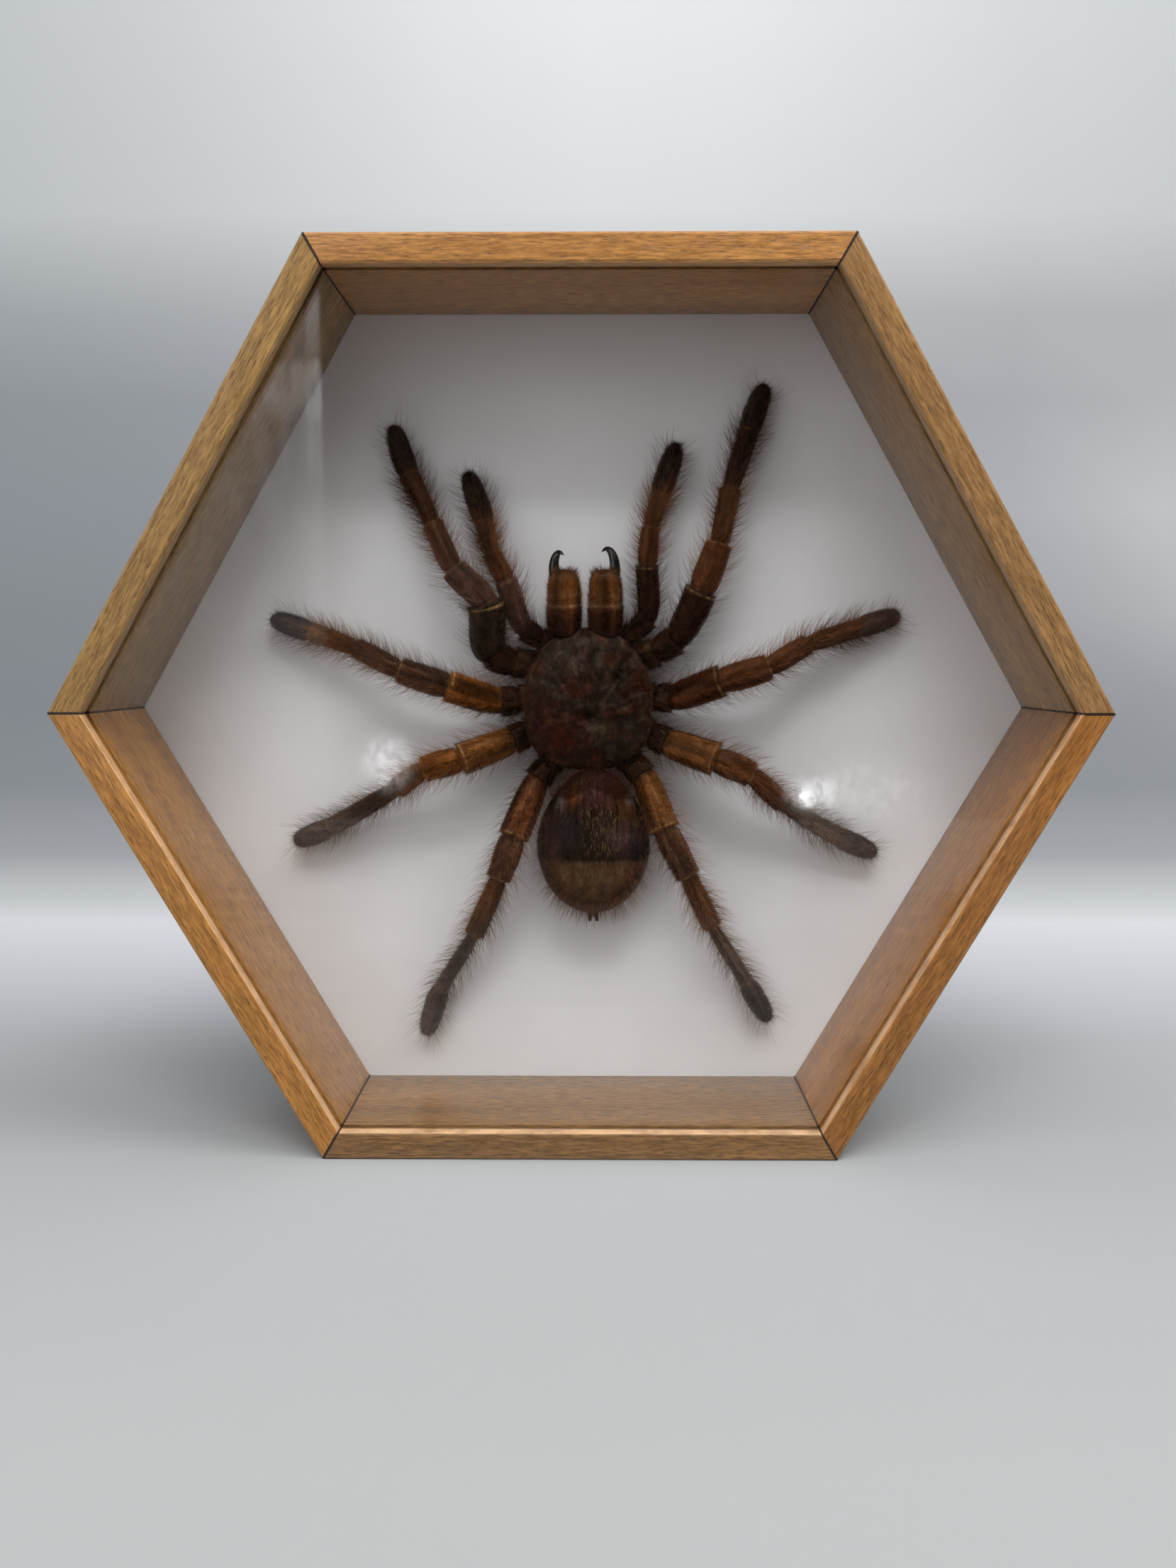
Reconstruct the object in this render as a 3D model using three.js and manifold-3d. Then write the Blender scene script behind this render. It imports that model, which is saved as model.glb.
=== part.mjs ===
// A tarantula mounted in a hexagonal shadow box. Six mitred hardwood rails hold a pane of glass in a
// groove near the front, and a white backing board and a back panel in a rebate behind. Framer's
// points keep the panel in, and a sawtooth hanger lets the box hang as well as stand.
//
// Millimetres, +Z up. The box stands on its bottom rail: the origin is the middle of that rail's
// underside, +X runs along it, and the glass faces -Y.
import * as THREE from "three";
import { mergeVertices } from "three/addons/utils/BufferGeometryUtils.js";
import Module from "manifold-3d";

const wasm = await Module();
wasm.setup();

// Frame
const ACROSS_CORNERS = 240;
const DEPTH = 48;
const RAIL_THICKNESS = 6.5;
const EASED_EDGE = 0.5; // the small flat on each long edge of a rail
const GAP = 0.3; // between pieces that touch
const MITRE_ANGLE = Math.PI / 6;

const APOTHEM = (ACROSS_CORNERS / 2) * Math.cos(MITRE_ANGLE);
const INNER_APOTHEM = APOTHEM - RAIL_THICKNESS;
const FRONT = -DEPTH / 2;
const BACK = DEPTH / 2;

// Glass
const LIP = 3.3; // of rail in front of the glass
const GLASS_THICKNESS = 2;
const GROOVE_DEPTH = 2.5;
const GROOVE_WIDTH = GLASS_THICKNESS + 2 * GAP;

// What closes the back
const BOARD_FACE = BACK - 8; // where the white board faces the specimen
const BOARD_THICKNESS = 3;
const PANEL_THICKNESS = 2.5;
const REBATE_DEPTH = 3;
const PANEL_FACE = BOARD_FACE + BOARD_THICKNESS + GAP;
const PANEL_BACK = PANEL_FACE + PANEL_THICKNESS;

// Framer's points, one to a rail
const POINT_LENGTH = 14;
const POINT_WIDTH = 6;
const POINT_THICKNESS = 0.6;
const POINT_IN_WOOD = 2;

// Sawtooth hanger
const HANGER_LENGTH = 44;
const HANGER_WIDTH = 8;
const HANGER_THICKNESS = 0.8;
const HANGER_HEIGHT = 68; // above the hexagon's centre
const TEETH = 9;
const TOOTH_PITCH = 3;
const TOOTH_HEIGHT = 1.6;
const NAIL_FROM_END = 4;
const NAIL_RADIUS = 0.8;
const NAIL_HEAD_RADIUS = 1.8;
const NAIL_HEAD_THICKNESS = 0.5;

// The specimen's rounded parts: the middle of each on the board, the height of its rim above the
// board, and how far it bulges above and below that rim. Squareness 2 makes the outline an ellipse.
const CARAPACE = {
  x: 1.7, z: 106.5, halfWidth: 15.5, halfLength: 17, rim: 9.6, above: 4.6, below: 0.6, squareness: 2.6,
};
const STERNUM = {
  x: 1.7, z: 106.5, halfWidth: 8, halfLength: 11.5, rim: 4, above: 3, below: 2.5, squareness: 2.2,
};
const ABDOMEN = {
  x: 3, z: 69.7, halfWidth: 14.2, halfLength: 17.5, rim: 8.5, above: 7.5, below: 7, squareness: 2,
};
const SPINNERETS = {
  x: 3, z: 50.4, halfWidth: 1.6, halfLength: 1.4, rim: 7, above: 1.2, below: 1.2, squareness: 2,
};
const PEDICEL = { x: 2.3, z: 88.9, height: 6.8, radius: 1.3, length: 2.2 };

// Jaws: each chelicera runs from the carapace to its fang.
const CHELICERA_X = { left: -4, right: 6.2 };
const CHELICERA_ENDS = { base: [124.4, 9.5], tip: [139, 10.5] }; // [z, height]

// Heights of a limb's joints above the board, from the coxa outwards to the tip.
const LEG_HEIGHTS = [5, 7.5, 13, 13, 9, 5, 3.3];
const PALP_HEIGHTS = [5, 7.5, 12, 11, 7.5, 4.2];

// Half the width of each segment at its near and far end, from the coxa to the tarsus.
const LEG_RADII = [[2.1, 2.7], [3.1, 3.7], [3.5, 3.2], [2.8, 2.5], [2.4, 2.6], [2.8, 2.6]];
const PALP_RADII = [[2.0, 2.3], [2.4, 2.4], [2.4, 2.3], [2.3, 2.2], [2.7, 2.5]];
const CHELICERA_RADII = [[4.1, 4.1]];
const FANG_RADII = [[0.95, 0.9], [0.8, 0.6], [0.5, 0.2]];
const JOINT_WAIST = 0.8; // how far a limb pulls in at each joint
const SWELL_FROM = 0.2; // where a segment's swelling starts and ends, as shares of its length
const SWELL_TO = 0.8;
const TIP_ROUNDING = { width: 0.7, length: 0.08 }; // shares of the last segment's
const LIMB_SIDES = 10;

// Each limb's joints on the board, as [x, z], from the coxa outwards to the tip.
const LEG_JOINTS = {
  leg_1_left: [[-6, 114], [-20, 118], [-24, 130], [-31, 138], [-37, 149], [-43, 162], [-47, 174]],
  leg_1_right: [[9.5, 114], [23.5, 121], [29.5, 133], [33.5, 144], [36.5, 157.5], [41, 172.5], [45, 184]],
  leg_2_left: [[-7.5, 107.5], [-20, 106], [-33, 110], [-44.5, 113.5], [-56, 119], [-68, 123], [-78.5, 126.5]],
  leg_2_right: [[11, 107.5], [22.5, 107], [34.5, 111.5], [46, 114.5], [56, 120], [69.5, 124], [80, 127.5]],
  leg_3_left: [[-6.5, 101], [-17.5, 96], [-30, 91.5], [-39, 89], [-46, 83.5], [-64.5, 73], [-74, 69.5]],
  leg_3_right: [[10.5, 101], [21.5, 95.5], [33.5, 91.5], [43, 88.5], [51, 81], [65.5, 72], [76, 67]],
  leg_4_left: [[-3.5, 95.5], [-11, 86], [-17, 72], [-20.5, 61.5], [-27, 46.5], [-37, 31], [-41, 18.5]],
  leg_4_right: [[7.5, 95.5], [15.5, 87], [21, 74], [27, 62.5], [33.5, 49], [43.5, 33], [49, 22.5]],
};
const LEG_STOUTNESS = { 1: 1, 2: 0.97, 3: 0.97, 4: 0.86 };
const PALP_JOINTS = {
  pedipalp_left: [[-3, 118.5], [-14, 123.5], [-18.5, 135.5], [-22, 142], [-24, 150], [-28.5, 162.5]],
  pedipalp_right: [[6.5, 118.5], [15.5, 126], [16.5, 139], [17, 148], [19.5, 156.5], [23.5, 169.5]],
};
// Fang joints also give the height, because a fang hooks down towards the board.
const FANG_JOINTS = {
  fang_left: [[-6.7, 139.6, 11], [-7, 141.4, 10.5], [-5.9, 142.6, 9.5], [-4.4, 141.8, 8]],
  fang_right: [[8.5, 139.6, 11], [8.8, 142, 10.5], [7.2, 143.7, 9.5], [5, 142.8, 8]],
};

const FINISHES = {
  wood: { color: 0xb07a42, roughness: 0.55, metalness: 0 },
  glass: { color: 0xe8f0f0, roughness: 0.02, metalness: 0, transparent: true, opacity: 0.25 },
  board: { color: 0xe4e3e6, roughness: 0.8, metalness: 0 },
  panel: { color: 0x8a6a48, roughness: 0.85, metalness: 0 },
  steel: { color: 0x9c9c9e, roughness: 0.4, metalness: 1 },
  cuticle: { color: 0x4a2a18, roughness: 0.6, metalness: 0 },
  fang: { color: 0x0c0a0a, roughness: 0.2, metalness: 0 },
};

const model = new THREE.Group();

function add(name, geometry, finish) {
  const mesh = new THREE.Mesh(geometry, new THREE.MeshStandardMaterial(FINISHES[finish]));
  mesh.name = name;
  model.add(mesh);
  return mesh;
}

function solidOf(geometry) {
  const bare = geometry.clone().deleteAttribute("normal").deleteAttribute("uv");
  const merged = mergeVertices(bare, 1e-4);
  return new wasm.Manifold(
    new wasm.Mesh({
      numProp: 3,
      vertProperties: merged.attributes.position.array,
      triVerts: new Uint32Array(merged.index.array),
    }),
  );
}

function geometryOf(solid) {
  const mesh = solid.getMesh();
  return new THREE.BufferGeometry()
    .setAttribute("position", new THREE.BufferAttribute(mesh.vertProperties, 3))
    .setIndex(new THREE.BufferAttribute(mesh.triVerts, 1));
}

function mapVertices(geometry, place) {
  const position = geometry.getAttribute("position");
  const at = new THREE.Vector3();
  for (let i = 0; i < position.count; i++) {
    at.fromBufferAttribute(position, i);
    position.setXYZ(i, ...place(at).toArray());
  }
  return geometry;
}

// A rail's section: across is the distance from the hexagon's centre, along the depth is y.
function railSection() {
  const outer = APOTHEM;
  const inner = INNER_APOTHEM;
  const groove = FRONT + LIP;
  const step = BOARD_FACE - GAP;
  return new THREE.Shape(
    [
      [outer, FRONT + EASED_EDGE],
      [outer, BACK - EASED_EDGE],
      [outer - EASED_EDGE, BACK],
      [inner + REBATE_DEPTH, BACK],
      [inner + REBATE_DEPTH, step],
      [inner, step],
      [inner, groove + GROOVE_WIDTH],
      [inner + GROOVE_DEPTH, groove + GROOVE_WIDTH],
      [inner + GROOVE_DEPTH, groove],
      [inner, groove],
      [inner, FRONT + EASED_EDGE],
      [inner + EASED_EDGE, FRONT],
      [outer - EASED_EDGE, FRONT],
    ].map(([across, y]) => new THREE.Vector2(across, y)),
  );
}

// The section runs along X, and each end is mitred: it lies on the plane that meets the next rail.
function railGeometry() {
  const bar = new THREE.ExtrudeGeometry(railSection(), { depth: 1, bevelEnabled: false });
  mapVertices(bar, ({ x: across, y, z }) => {
    const half = across * Math.tan(MITRE_ANGLE) - GAP / 2 / Math.cos(MITRE_ANGLE);
    return new THREE.Vector3(z < 0.5 ? half : -half, y, across);
  });
  const slot = new THREE.BoxGeometry(POINT_WIDTH + 2 * GAP, POINT_THICKNESS + 2 * GAP, POINT_IN_WOOD + 1);
  slot.translate(0, pointMiddle(), INNER_APOTHEM + REBATE_DEPTH + (POINT_IN_WOOD - 1) / 2 + GAP);
  return geometryOf(solidOf(bar).subtract(solidOf(slot)));
}

function pointMiddle() {
  return PANEL_BACK + GAP + POINT_THICKNESS / 2;
}

// A flat steel lozenge, driven into the rail at one end and lying on the panel at the other.
function pointGeometry() {
  const half = POINT_WIDTH / 2;
  const outline = new THREE.Shape(
    [
      [-half, 0],
      [half, 0],
      [half, POINT_LENGTH - half],
      [0, POINT_LENGTH],
      [-half, POINT_LENGTH - half],
    ].map(([x, y]) => new THREE.Vector2(x, y)),
  );
  const plate = new THREE.ExtrudeGeometry(outline, { depth: POINT_THICKNESS, bevelEnabled: false });
  return plate.rotateX(-Math.PI / 2);
}

const SIDES = ["top", "upper_right", "lower_right", "bottom", "lower_left", "upper_left"];

function addRails() {
  SIDES.forEach((side, turn) => {
    const rail = add("rail_" + side, railGeometry(), "wood");
    rail.position.z = APOTHEM;
    rail.rotation.y = (turn * Math.PI) / 3;
  });
}

// A hexagonal sheet with its corners to the left and right, from y to y + thickness.
function hexagonSheet(apothem, y, thickness) {
  const radius = apothem / Math.cos(MITRE_ANGLE);
  const sheet = new THREE.CylinderGeometry(radius, radius, thickness, 6);
  sheet.rotateY(MITRE_ANGLE);
  sheet.translate(0, y + thickness / 2, APOTHEM);
  return sheet;
}

function addSheets() {
  const inGroove = INNER_APOTHEM + GROOVE_DEPTH - GAP;
  const inRebate = INNER_APOTHEM + REBATE_DEPTH - GAP;
  add("glass_pane", hexagonSheet(inGroove, FRONT + LIP + GAP, GLASS_THICKNESS), "glass");
  add("backing_board", hexagonSheet(inRebate, BOARD_FACE, BOARD_THICKNESS), "board");
  add("back_panel", hexagonSheet(inRebate, PANEL_FACE, PANEL_THICKNESS), "panel");
}

function addPoints() {
  const reach = INNER_APOTHEM + REBATE_DEPTH + POINT_IN_WOOD;
  SIDES.forEach((side, turn) => {
    const plate = pointGeometry();
    plate.translate(0, pointMiddle() - POINT_THICKNESS / 2, reach);
    const point = add("framers_point_" + side, plate, "steel");
    point.position.z = APOTHEM;
    point.rotation.y = (turn * Math.PI) / 3;
  });
}

// A pressed strip with a row of teeth along its lower edge and a nail hole near each end.
function hangerGeometry() {
  const half = HANGER_LENGTH / 2;
  const toothed = (TEETH * TOOTH_PITCH) / 2;
  const outline = new THREE.Shape();
  outline.moveTo(-half, HANGER_WIDTH);
  outline.lineTo(-half, 0);
  for (let tooth = 0; tooth < TEETH; tooth++) {
    const start = tooth * TOOTH_PITCH - toothed;
    outline.lineTo(start, 0);
    outline.lineTo(start + TOOTH_PITCH / 2, TOOTH_HEIGHT);
  }
  outline.lineTo(toothed, 0);
  outline.lineTo(half, 0);
  outline.lineTo(half, HANGER_WIDTH);
  for (const side of [-1, 1]) {
    const hole = new THREE.Path();
    hole.absarc(side * (half - NAIL_FROM_END), HANGER_WIDTH / 2, NAIL_RADIUS + GAP, 0, 2 * Math.PI);
    outline.holes.push(hole);
  }
  const strip = new THREE.ExtrudeGeometry(outline, {
    depth: HANGER_THICKNESS,
    bevelEnabled: false,
    curveSegments: 6,
  });
  return strip.rotateX(Math.PI / 2).translate(0, HANGER_THICKNESS, 0);
}

// A nail is a shank that stops short of the panel and a flat round head, turned as one piece.
function nailGeometry() {
  const shank = HANGER_THICKNESS + GAP;
  const profile = [
    [0, 0],
    [NAIL_RADIUS, 0],
    [NAIL_RADIUS, shank],
    [NAIL_HEAD_RADIUS, shank],
    [NAIL_HEAD_RADIUS, shank + NAIL_HEAD_THICKNESS],
    [0, shank + NAIL_HEAD_THICKNESS],
  ];
  return new THREE.LatheGeometry(profile.map(([radius, y]) => new THREE.Vector2(radius, y)), 12);
}

function addHanger() {
  const z = APOTHEM + HANGER_HEIGHT;
  const y = PANEL_BACK + GAP;
  add("sawtooth_hanger", hangerGeometry().translate(0, y, z), "steel");
  for (const [side, sign] of [["left", -1], ["right", 1]]) {
    const x = sign * (HANGER_LENGTH / 2 - NAIL_FROM_END);
    add("hanger_nail_" + side, nailGeometry().translate(x, y, z + HANGER_WIDTH / 2), "steel");
  }
}

function onBoard(x, z, height) {
  return new THREE.Vector3(x, BOARD_FACE - height, z);
}

// A limb is turned like a baluster, with a swelling for each segment and a waist at each joint, and
// then bent along the curve through its joints. In the profile, a joint is a whole number.
function limbProfile(radii, stoutness) {
  const profile = [[0, 0]];
  radii.forEach(([near, far], segment) => {
    profile.push([near * JOINT_WAIST, segment], [near, segment + SWELL_FROM], [far, segment + SWELL_TO]);
  });
  const end = radii.length;
  const tip = radii[end - 1][1];
  profile.push([tip * TIP_ROUNDING.width, end - TIP_ROUNDING.length], [0, end]);
  return profile.map(([radius, along]) => new THREE.Vector2(radius * stoutness, along));
}

function limbGeometry(joints, radii, stoutness = 1) {
  const curve = new THREE.CatmullRomCurve3(joints, false, "centripetal");
  const turned = new THREE.LatheGeometry(limbProfile(radii, stoutness), LIMB_SIDES);
  const towardsViewer = new THREE.Vector3(0, -1, 0);
  return mapVertices(turned, ({ x, y: along, z }) => {
    const at = along / radii.length;
    const tangent = curve.getTangent(at);
    const side = new THREE.Vector3().crossVectors(tangent, towardsViewer).normalize();
    const upper = new THREE.Vector3().crossVectors(side, tangent);
    return curve.getPoint(at).addScaledVector(side, x).addScaledVector(upper, z);
  });
}

function addLimbs() {
  for (const [name, places] of Object.entries(LEG_JOINTS)) {
    const joints = places.map(([x, z], i) => onBoard(x, z, LEG_HEIGHTS[i]));
    const pair = name.split("_")[1];
    add(name, limbGeometry(joints, LEG_RADII, LEG_STOUTNESS[pair]), "cuticle");
  }
  for (const [name, places] of Object.entries(PALP_JOINTS)) {
    const joints = places.map(([x, z], i) => onBoard(x, z, PALP_HEIGHTS[i]));
    add(name, limbGeometry(joints, PALP_RADII), "cuticle");
  }
}

// A sphere drawn out to a squarish oval outline, with its own height above and below the rim.
function roundedGeometry({ x, z, rim, halfWidth, halfLength, above, below, squareness }) {
  const ball = new THREE.SphereGeometry(1, 24, 12);
  return mapVertices(ball, (v) => {
    const out = Math.hypot(v.x, v.z);
    const angle = Math.atan2(v.z, v.x);
    const across = Math.abs(Math.cos(angle) / halfWidth) ** squareness;
    const along = Math.abs(Math.sin(angle) / halfLength) ** squareness;
    const reach = out * (across + along) ** (-1 / squareness);
    const height = rim + v.y * (v.y > 0 ? above : below);
    return onBoard(x + reach * Math.cos(angle), z - reach * Math.sin(angle), height);
  });
}

function addBody() {
  add("carapace", roundedGeometry(CARAPACE), "cuticle");
  add("sternum", roundedGeometry(STERNUM), "cuticle");
  add("abdomen", roundedGeometry(ABDOMEN), "cuticle");
  add("spinnerets", roundedGeometry(SPINNERETS), "cuticle");
  const { x, z, height, radius, length } = PEDICEL;
  const stalk = new THREE.CylinderGeometry(radius, radius, length, LIMB_SIDES).rotateX(Math.PI / 2);
  add("pedicel", stalk.translate(...onBoard(x, z, height).toArray()), "cuticle");
}

function addJaws() {
  for (const [side, x] of Object.entries(CHELICERA_X)) {
    const ends = [onBoard(x, ...CHELICERA_ENDS.base), onBoard(x, ...CHELICERA_ENDS.tip)];
    add("chelicera_" + side, limbGeometry(ends, CHELICERA_RADII), "cuticle");
  }
  for (const [name, places] of Object.entries(FANG_JOINTS)) {
    add(name, limbGeometry(places.map((place) => onBoard(...place)), FANG_RADII), "fang");
  }
}

addRails();
addSheets();
addPoints();
addHanger();
addBody();
addJaws();
addLimbs();

export default model;
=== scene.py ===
import math

import bmesh
import bpy
import numpy as np
from mathutils import Matrix, Vector, noise


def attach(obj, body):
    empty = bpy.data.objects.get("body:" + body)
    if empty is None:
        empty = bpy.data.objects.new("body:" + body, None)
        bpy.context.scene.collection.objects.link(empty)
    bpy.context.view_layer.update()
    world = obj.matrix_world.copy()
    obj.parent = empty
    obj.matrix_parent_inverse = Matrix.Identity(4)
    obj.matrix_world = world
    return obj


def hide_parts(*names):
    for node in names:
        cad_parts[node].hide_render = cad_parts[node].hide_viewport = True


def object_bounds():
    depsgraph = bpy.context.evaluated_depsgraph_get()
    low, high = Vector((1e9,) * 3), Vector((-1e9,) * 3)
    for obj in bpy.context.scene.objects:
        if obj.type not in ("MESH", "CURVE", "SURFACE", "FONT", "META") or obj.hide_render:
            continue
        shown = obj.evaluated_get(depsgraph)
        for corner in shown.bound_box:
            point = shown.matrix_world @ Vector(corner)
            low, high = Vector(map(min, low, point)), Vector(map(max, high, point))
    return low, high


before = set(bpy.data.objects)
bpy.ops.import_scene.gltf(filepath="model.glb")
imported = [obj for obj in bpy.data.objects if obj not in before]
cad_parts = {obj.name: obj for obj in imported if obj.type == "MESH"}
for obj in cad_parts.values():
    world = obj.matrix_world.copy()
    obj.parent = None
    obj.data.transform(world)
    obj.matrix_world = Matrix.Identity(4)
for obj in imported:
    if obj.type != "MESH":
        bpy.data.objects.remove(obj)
cad_low, cad_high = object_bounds()

# --- Rails ------------------------------------------------------------------------------------
# Six battens of a golden brown hardwood, mitred at 30 degrees and glued into a hexagon. The long
# edges are eased with sandpaper and the wood is oiled, so its open pores read as fine dark dashes.

MM = 0.001
SIDES = ("top", "upper_right", "lower_right", "bottom", "lower_left", "upper_left")
HEX_CENTRE = Vector((0, 0, (cad_low.z + cad_high.z) / 2))
RAIL_EDGE_ROUNDING = 0.22 * MM
# Each rail has its own tone, partly its wood and partly painted light: the top rail is painted paler and the
# bottom one darker.
RAIL_TONES_WITH_PAINTED_LIGHT = {  # pale grain, dark grain, and the share of the painted highlight on the lip inside the front edge
    "top": ("#d59a5b", "#b47b43", 0.15),
    "upper_right": ("#b98d58", "#966f48", 0.15),
    "lower_right": ("#b47a3e", "#905e2e", 0.75),
    "bottom": ("#9a7349", "#775939", 0.85),
    "lower_left": ("#c28a46", "#9b6834", 0.75),
    "upper_left": ("#b38c54", "#906e44", 0.15),
}
PORE = "#2c1a0e"
# The pale of the front edges: a painted highlight on the lip, and rubbed wear with a painted highlight on the
# outer edge.
EDGE_HIGHLIGHT_AND_WEAR = "#d9ae80"
RAIL_THICKNESS = 6.5 * MM
APOTHEM = (cad_high.z - cad_low.z) / 2
INNER_APOTHEM = APOTHEM - RAIL_THICKNESS
LIP = 2.4 * MM  # from the front edge to the groove of the glass
# Share of that pale on the outer front edge, partly rubbed wear and partly a painted highlight.
OUTER_HIGHLIGHT_AND_WEAR = 0.35
GRAIN_SCALES = (  # of the figure, the fibre and the pores: along the rail, then across it
    (9, 90, 90),
    (300, 2400, 2400),
    (220, 3600, 3600),
)


def colour(code):
    """The linear colour of a hex code."""
    shares = [int(code[i:i + 2], 16) / 255 for i in (1, 3, 5)]
    return tuple(c / 12.92 if c < 0.04045 else ((c + 0.055) / 1.055) ** 2.4 for c in shares) + (1,)


def new_material(name):
    material = bpy.data.materials.new(name)
    material.use_nodes = True
    return material


def set_inputs(material, node, inputs):
    """Sets inputs of a node, each to a constant or to the output of another node."""
    for name, value in inputs.items():
        if isinstance(value, bpy.types.NodeSocket):
            material.node_tree.links.new(value, node.inputs[name])
        else:
            node.inputs[name].default_value = value
    return node


def add(material, kind, inputs=None, **settings):
    """Adds a node. Its inputs are given by their names or numbers."""
    made = material.node_tree.nodes.new(kind)
    for name, value in settings.items():
        setattr(made, name, value)
    return set_inputs(material, made, inputs or {})


def surface(material, inputs):
    """Sets the inputs of the material's own shader."""
    return set_inputs(material, material.node_tree.nodes["Principled BSDF"], inputs)


def object_place(material):
    return add(material, "ShaderNodeTexCoord").outputs["Object"]


def seen_from(material, place, spot, scales=(1, 1, 1), turn=(0, 0, 0)):
    """These coordinates as measured from a spot that has its own scales and turn."""
    inputs = {"Vector": place, "Location": spot, "Rotation": turn, "Scale": scales}
    return add(material, "ShaderNodeMapping", inputs, vector_type="TEXTURE").outputs["Vector"]


def speckle(material, place, scale, detail=4.0, roughness=0.6):
    """Noise at these coordinates, about 0.3 to 0.7."""
    inputs = {"Vector": place, "Scale": scale, "Detail": detail, "Roughness": roughness}
    return add(material, "ShaderNodeTexNoise", inputs).outputs["Fac"]


def streaked(material, place, scales, detail=3.0, start=(0, 0, 0)):
    """Noise that is drawn out, because the coordinates have a scale of their own each way."""
    inputs = {"Vector": place, "Scale": scales, "Location": start}
    drawn_out = add(material, "ShaderNodeMapping", inputs).outputs["Vector"]
    return speckle(material, drawn_out, 1.0, detail)


def ramp(material, value, *stops):
    """A colour ramp through (position, hex colour) stops."""
    made = add(material, "ShaderNodeValToRGB", {"Fac": value})
    elements = made.color_ramp.elements
    while len(elements) < len(stops):
        elements.new(0.5)
    for element, (position, code) in zip(elements, stops):
        element.position = position
        element.color = colour(code)
    return made.outputs["Color"]


def blend(material, share, first, second, mode="MIX"):
    """Mixes two colours. The share is a number or an output."""
    inputs = {0: share, 6: first, 7: second}
    return add(material, "ShaderNodeMix", inputs, data_type="RGBA", blend_type=mode).outputs[2]


def relief(material, height, distance, strength=1.0, below=None):
    """The normals of a bumpy surface, on top of another one's where that is given."""
    inputs = {"Height": height, "Distance": distance, "Strength": strength}
    if below is not None:
        inputs["Normal"] = below
    return add(material, "ShaderNodeBump", inputs).outputs["Normal"]


def rescaled(material, value, low, high, least=0.0, most=1.0, ends="SMOOTHSTEP"):
    """Turns the range from low to high into the range from least to most."""
    inputs = {"Value": value, "From Min": low, "From Max": high, "To Min": least, "To Max": most}
    return add(material, "ShaderNodeMapRange", inputs, interpolation_type=ends).outputs["Result"]


def within(material, value, reach, softness):
    """1 where a value is below this reach, falling to 0 over the softness."""
    return rescaled(material, value, reach + softness, reach)


def maths(material, operation, first, second):
    return add(material, "ShaderNodeMath", {0: first, 1: second}, operation=operation).outputs["Value"]


def both(material, first, second):
    return maths(material, "MULTIPLY", first, second)


def wood(name, turn, lit, dark, lip_highlight):
    """Oiled hardwood, with its grain along a rail that is turned round the hexagon by this angle.

    Its front edges are painted paler: the lip inside the front edge as a painted highlight, the outer edge as
    rubbed wear and a painted highlight.
    """
    material = new_material(name)
    where = object_place(material)
    along = seen_from(material, where, HEX_CENTRE, turn=(0, turn, 0))
    figure, fibre, pore = (streaked(material, along, scales) for scales in GRAIN_SCALES)
    wide = ramp(material, figure, (0.25, dark), (0.75, lit))
    fine = ramp(material, fibre, (0.3, "#a6a29a"), (0.66, "#ffffff"))
    pores = ramp(material, pore, (0.60, "#000000"), (0.68, "#ffffff"))
    fibrous = blend(material, 0.9, wide, fine, "MULTIPLY")
    oiled = blend(material, pores, fibrous, blend(material, 0.4, colour(PORE), fibrous))
    place = add(material, "ShaderNodeSeparateXYZ", {"Vector": along}).outputs
    from_front = maths(material, "ADD", place["Y"], -cad_low.y)
    from_inside = maths(material, "SUBTRACT", place["Z"], INNER_APOTHEM)
    from_outside = maths(material, "SUBTRACT", APOTHEM, place["Z"])
    lip = both(material, within(material, from_inside, reach=0.12 * MM, softness=0.2 * MM),
               within(material, from_front, reach=LIP, softness=0.1 * MM))
    outer = both(material, within(material, from_outside, reach=0.15 * MM, softness=0.3 * MM),
                 within(material, from_front, reach=0.2 * MM, softness=0.3 * MM))
    patchy = ramp(material, speckle(material, where, 160.0, 3.0), (0.3, "#a0a0a0"), (0.6, "#ffffff"))
    # Painted highlight on the lip, and rubbed wear with a painted highlight on the outer edge.
    for edge, share in ((lip, lip_highlight), (outer, OUTER_HIGHLIGHT_AND_WEAR)):
        highlight_and_wear = both(material, both(material, edge, patchy), share)
        oiled = blend(material, highlight_and_wear, oiled, colour(EDGE_HIGHLIGHT_AND_WEAR))
    bump = relief(material, fibre, 0.05 * MM, 0.5)
    bump = relief(material, pores, -0.08 * MM, 0.6, bump)
    gloss = ramp(material, fibre, (0.3, "#8c8c8c"), (0.8, "#6a6a6a"))
    surface(material, {"Base Color": oiled, "Roughness": gloss, "Normal": bump, "Specular IOR Level": 0.4})
    return material


def welded(node):
    """The mesh of a frame node with its triangles joined, in a bmesh."""
    bm = bmesh.new()
    bm.from_mesh(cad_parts[node].data)
    bmesh.ops.remove_doubles(bm, verts=bm.verts, dist=0.01 * MM)
    bmesh.ops.dissolve_limit(bm, angle_limit=math.radians(0.5), verts=bm.verts, edges=bm.edges)
    return bm


def mesh_of(bm, name):
    mesh = bpy.data.meshes.new(name)
    bm.to_mesh(mesh)
    bm.free()
    return mesh


def finished(mesh, material, smooth=True):
    """Puts a mesh in the scene as an object of the same name, in its material."""
    mesh.materials.append(material)
    mesh.polygons.foreach_set("use_smooth", [smooth] * len(mesh.polygons))
    made = bpy.data.objects.new(mesh.name, mesh)
    bpy.context.scene.collection.objects.link(made)
    return made


def on_box(made, slot, *replaced):
    """Lets an object ride on the box and replace these nodes. The slot is not used."""
    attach(made, "root")
    if replaced:
        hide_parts(*replaced)
    return made


def piece(bm, name, material, slot, *replaced, smooth=True):
    return on_box(finished(mesh_of(bm, name), material, smooth), slot, *replaced)


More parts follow.
